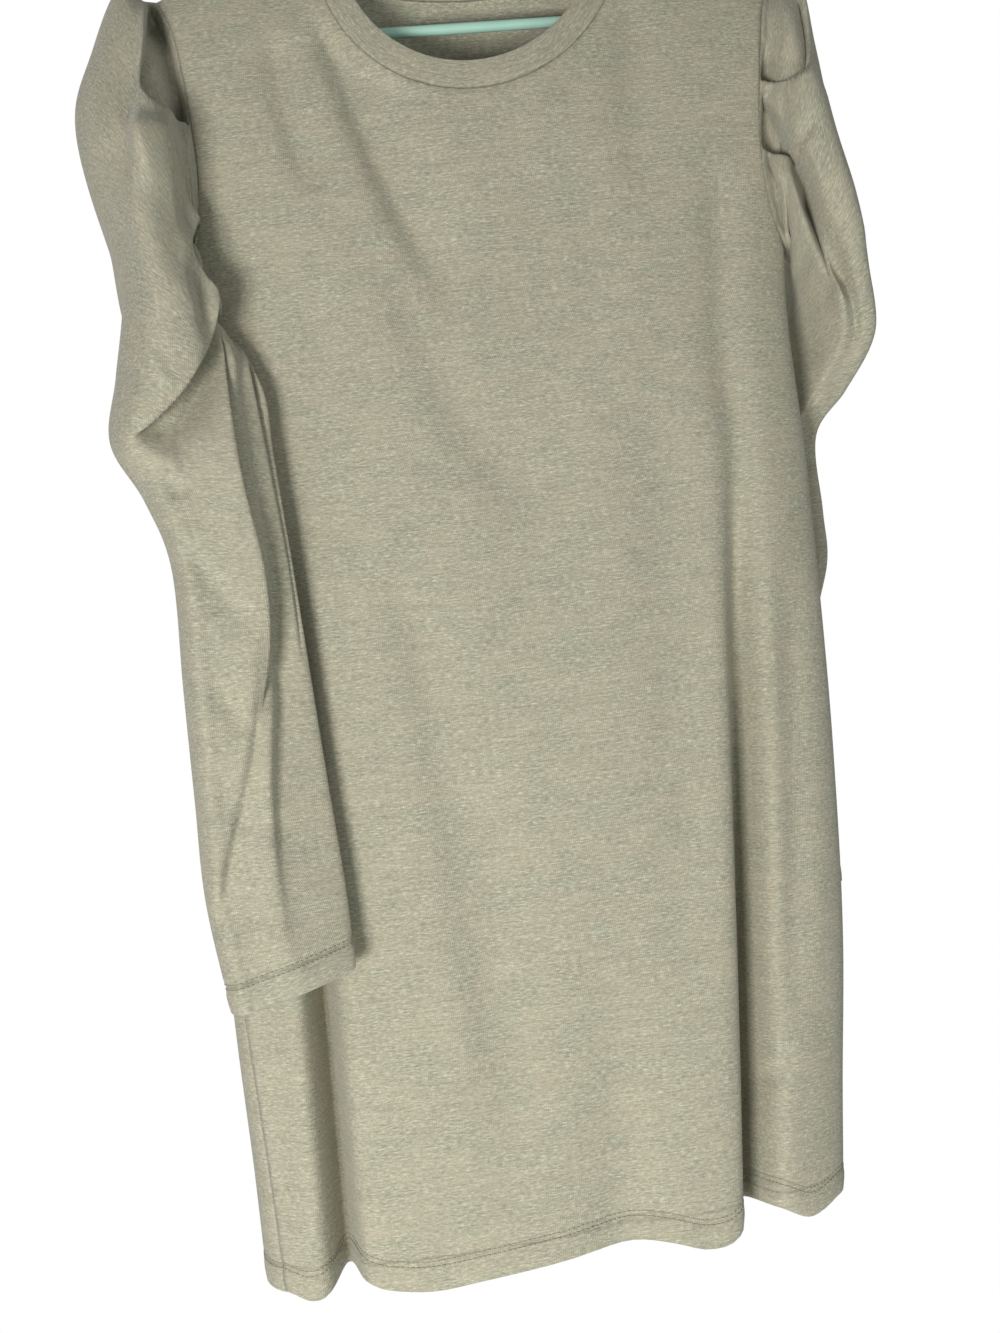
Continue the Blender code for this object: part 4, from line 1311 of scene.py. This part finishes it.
HEMS = (
    ("hem_stitches_front", front_final, front_normals, False),
    ("hem_stitches_back", back_final, back_normals, False),
    ("cuff_stitches_left", left_final, left_normals, True),
    ("cuff_stitches_right", right_final, right_normals, True),
)
hem_stitches = []
for name, points, normals, cyclic in HEMS:
    lines = [line_above_hem(points, normals, height) for height in STITCH_ROWS]
    hem_stitches.append(sew(name, lines, cyclic, hem_thread, HEM_STITCH))
front_stitches, back_stitches, left_stitches, right_stitches = hem_stitches

# %% The overlocked seam inside the back of the neck
OVERLOCK_TURN = 1.2  # how far round the neck it runs to either side, in radians
OVERLOCK_POINTS = 160
OVERLOCK_ROWS = (1.5, 3.5)  # millimetres below the neck seam
OVERLOCK_INSIDE = 0.5  # millimetres behind the cloth's inner face
OVERLOCK = {"Spacing": 0.0016, "Length": 0.0042, "Thickness": 0.0004, "Seed": 11}


def overlock_line(offset):
    """A line inside the back panel, just under its neck seam."""
    turns = np.linspace(-OVERLOCK_TURN, OVERLOCK_TURN, OVERLOCK_POINTS)
    x, drop = neck_seam(turns, 1.0)
    points = lay(x, drop + offset, 1.0)
    points[:, 1] -= 0.5 * WALL + OVERLOCK_INSIDE
    return points


overlock_lines = [overlock_line(offset) for offset in OVERLOCK_ROWS]
overlock = sew("neck_overlock", overlock_lines, False, overlock_thread, OVERLOCK)

# %% [markdown]
# ## The hanger
#
# A tubular hanger is one plastic tube: two sloping arms, a straight bar under them and a
# hook with a blunt end. A curve with a round bevel is just such a tube.

# %% The tube and its hook
TUBE_RADIUS = 3.75
ARM_BELOW_CLOTH = 5.4
BAR_DROP = 58.0
ARM_HALF = 206.0
APEX_HALF = 6.0
END_SHARE = 0.45
END_STEPS = 24
HOOK_RADIUS = 18.0
HOOK_NECK = 14.0
HOOK_DEGREES = (-50, 201, 5)
TIP_RADII = (0.98, 0.9, 0.72, 0.4)


def arm_centre(x):
    """Drop of the middle of the hanger's arm."""
    return shoulder_line(x) + ARM_BELOW_CLOTH / math.cos(math.atan(SHOULDER_SLOPE))


def frame_line():
    """The closed line of the hanger's two arms, its round ends and its bar."""
    slope = math.atan(SHOULDER_SLOPE)
    arcs = []
    for side in (1, -1):
        gap = BAR_DROP - arm_centre(CENTRE_TOP + side * ARM_HALF)
        turn_radius = 0.5 * gap / (1.0 - END_SHARE * math.sin(slope))
        start = math.pi / 2 - slope
        arc = []
        for step in range(END_STEPS + 1):
            angle = start - (start + math.pi / 2) * step / END_STEPS
            across = ARM_HALF - turn_radius + turn_radius * math.cos(angle)
            drop = BAR_DROP - turn_radius - turn_radius * math.sin(angle)
            arc.append((CENTRE_TOP + side * across, 0.0, drop))
        arcs.append(arc)
    apex = (CENTRE_TOP, 0.0, arm_centre(CENTRE_TOP + APEX_HALF))
    return [apex] + arcs[0] + arcs[1][::-1]


def hook_line():
    """The line of the hook, from the top of the arms round to its tip."""
    centre = -SHOULDER_LEVEL + HOOK_RADIUS
    bend = HOOK_RADIUS + TUBE_RADIUS
    foot = arm_centre(CENTRE_TOP)
    line = [(CENTRE_TOP, 0.0, foot), (CENTRE_TOP, 0.0, foot - HOOK_NECK)]
    for degrees in range(*HOOK_DEGREES):
        angle = math.radians(degrees)
        x = -HANGER_SHIFT + bend * math.cos(angle)
        line.append((x, 0.0, centre - bend * math.sin(angle)))
    return line


def make_hanger(name):
    """The hanger's frame and hook as one mesh of round tube."""
    curve = bpy.data.curves.new(name, "CURVE")
    curve.dimensions = "3D"
    curve.bevel_depth = TUBE_RADIUS * MM
    curve.bevel_resolution = 6
    curve.use_fill_caps = True
    for line, cyclic in ((frame_line(), True), (hook_line(), False)):
        spline = curve.splines.new("POLY")
        spline.use_cyclic_u = cyclic
        spline.points.add(len(line) - 1)
        for point, place in zip(spline.points, hang(np.array(line, dtype=float))):
            point.co = (*place, 1.0)
        if not cyclic:
            for point, radius in zip(spline.points[-len(TIP_RADII):], TIP_RADII):
                point.radius = radius
    source = bpy.data.objects.new(name + "_curve", curve)
    bpy.context.scene.collection.objects.link(source)
    graph = bpy.context.evaluated_depsgraph_get()
    mesh = bpy.data.meshes.new_from_object(source.evaluated_get(graph))
    bpy.data.objects.remove(source)
    work = bmesh.new()
    work.from_mesh(mesh)
    bmesh.ops.remove_doubles(work, verts=work.verts, dist=1e-6)
    bmesh.ops.recalc_face_normals(work, faces=work.faces)
    work.to_mesh(mesh)
    work.free()
    mesh.shade_smooth()
    mesh.materials.clear()
    mesh.materials.append(mint_plastic)
    piece = bpy.data.objects.new(name, mesh)
    bpy.context.scene.collection.objects.link(piece)
    return piece


hanger = make_hanger("hanger_tube")
print("hanger faces", len(hanger.data.polygons))

# %% [markdown]
# ## What each piece is
#
# Every piece rides on the one body. Each sheet and the hanger hide the solid that they
# stand in for, and each sheet's measured area and extent are printed beside its flat cut.

# %% Attaching the pieces
SHEETS = (
    (dress_front, "front", ["hanger_tube"], [front_stitches]),
    (dress_back, "back", ["hanger_tube"], [back_stitches, overlock]),
    (sleeve_left, "sleeve_left", ["dress_front"], [left_stitches]),
    (sleeve_right, "sleeve_right", ["dress_back"], [right_stitches]),
    (neckband, "neckband", ["dress_front", "dress_back"], []),
)
# Width, length and area of each flat cut, in metres
FLATS = {
    "dress_front": (0.60, 0.95, 0.455),
    "dress_back": (0.54, 0.95, 0.44),
    "sleeve_left_cloth": (0.56, 0.78, 0.173),
    "sleeve_right_cloth": (0.51, 0.76, 0.142),
    "neckband_cloth": (0.612, 0.021, 0.011),
}


def measured(piece):
    """Area of a sheet, and its extent across and down on its own map."""
    area = sum(face.area for face in piece.data.polygons)
    places = np.empty(2 * len(piece.data.loops), dtype=np.float32)
    piece.data.uv_layers["cloth"].data.foreach_get("uv", places)
    extent = np.ptp(places.reshape(-1, 2), axis=0)
    return round(area, 4), extent.round(3).tolist()


for piece, node, rests_on, extras in SHEETS:
    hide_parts(node)
    for item in [piece] + extras:
        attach(item, "root")
    print(piece.name, "measured", measured(piece), "stated", FLATS[piece.name])
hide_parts("hanger")
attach(hanger, "root")

# %% [markdown]
# ## Studio
#
# A white surround lights the dress softly from all sides. A soft light from the front
# left gives the folds their shading, a weak one from the front right fills them, and
# one behind shines on the back.

# %% The surround and the floor
WORLD_LIGHT = 0.28
world = bpy.data.worlds.new("white studio")
bpy.context.scene.world = world
world.use_nodes = True
sky = world.node_tree
sky.nodes.clear()
seen = add(sky, "ShaderNodeLightPath").outputs["Is Camera Ray"]
strength = add(sky, "ShaderNodeMapRange", {
    "Value": seen, "To Min": WORLD_LIGHT, "To Max": 1.0,
})
glow = add(sky, "ShaderNodeBackground", {
    "Color": (1.0, 1.0, 1.0, 1.0), "Strength": strength.outputs["Result"],
})
add(sky, "ShaderNodeOutputWorld", {"Surface": glow.outputs[0]})
bpy.context.scene.view_settings.view_transform = "Standard"

FLOOR_LEVEL = -1.6
FLOOR_RADIUS = 1.05
floor_mesh = bpy.data.meshes.new("floor")
work = bmesh.new()
bmesh.ops.create_circle(work, cap_ends=True, segments=96, radius=FLOOR_RADIUS)
bmesh.ops.translate(work, verts=work.verts, vec=(0.0, 0.0, FLOOR_LEVEL))
work.to_mesh(floor_mesh)
work.free()
floor_finish, floor_tree = new_material("white studio floor")
floor_shader = add(floor_tree, "ShaderNodeBsdfPrincipled", {
    "Base Color": linear("#f4f4f2"), "Roughness": 0.8,
})
add(floor_tree, "ShaderNodeOutputMaterial", {"Surface": floor_shader.outputs[0]})
floor_mesh.materials.append(floor_finish)
floor = bpy.data.objects.new("floor", floor_mesh)
bpy.context.scene.collection.objects.link(floor)
print("floor at", FLOOR_LEVEL, "m")


# %% Soft lights
def soft_light(name, place, target, size, power, tint):
    """A square area light that faces a point."""
    light = bpy.data.lights.new(name, "AREA")
    light.size = size
    light.energy = power
    light.color = tint
    lamp = bpy.data.objects.new(name, light)
    lamp.location = place
    direction = Vector(target) - Vector(place)
    lamp.rotation_euler = direction.to_track_quat("-Z", "Y").to_euler()
    bpy.context.scene.collection.objects.link(lamp)


KEY_TINT = (1.0, 0.975, 0.945)
FILL_TINT = (0.93, 1.0, 0.95)
# Name, place, the point that it faces, size in metres, power in watts and tint
SOFT_LIGHTS = (
    ("key", (-0.98, -1.88, -1.26), (0.0, 0.0, -0.85), 0.6, 40.0, KEY_TINT),
    ("fill", (0.9, -2.1, -1.1), (0.0, 0.0, -0.8), 1.0, 8.0, FILL_TINT),
    ("behind", (0.6, 1.9, -0.1), (0.0, 0.0, -0.6), 1.2, 22.0, FILL_TINT),
)
for settings in SOFT_LIGHTS:
    soft_light(*settings)
print("soft lights", len(SOFT_LIGHTS))

# %% [markdown]
# ## Camera
#
# The photograph was taken from slightly left of the middle, level with the waist, with
# the camera turned a few degrees about its own axis.

# %% The camera at the photograph's angle
CAMERA_PLACE = (-0.1546, -1.1402, -0.617)
CAMERA_TURN = math.radians(7.5)
CAMERA_ROLL = math.radians(3.5)
LENS = 43.7
camera_data = bpy.data.cameras.new("camera")
camera_data.sensor_width = 36.0
camera_data.lens = LENS
camera = bpy.data.objects.new("camera", camera_data)
bpy.context.scene.collection.objects.link(camera)
ahead = Vector((math.sin(CAMERA_TURN), math.cos(CAMERA_TURN), 0.0))
right = Vector((math.cos(CAMERA_TURN), -math.sin(CAMERA_TURN), 0.0))
down = Vector((0.0, 0.0, -1.0))
image_right = right * math.cos(CAMERA_ROLL) + down * math.sin(CAMERA_ROLL)
image_down = down * math.cos(CAMERA_ROLL) - right * math.sin(CAMERA_ROLL)
turn = Matrix((image_right, -image_down, -ahead)).transposed()
camera.matrix_world = Matrix.Translation(CAMERA_PLACE) @ turn.to_4x4()
bpy.context.scene.camera = camera
print("camera at", CAMERA_PLACE)

# %% [markdown]
# ## Finish
#
# The scene is brought up to date.

# %% The end
bpy.context.view_layer.update()
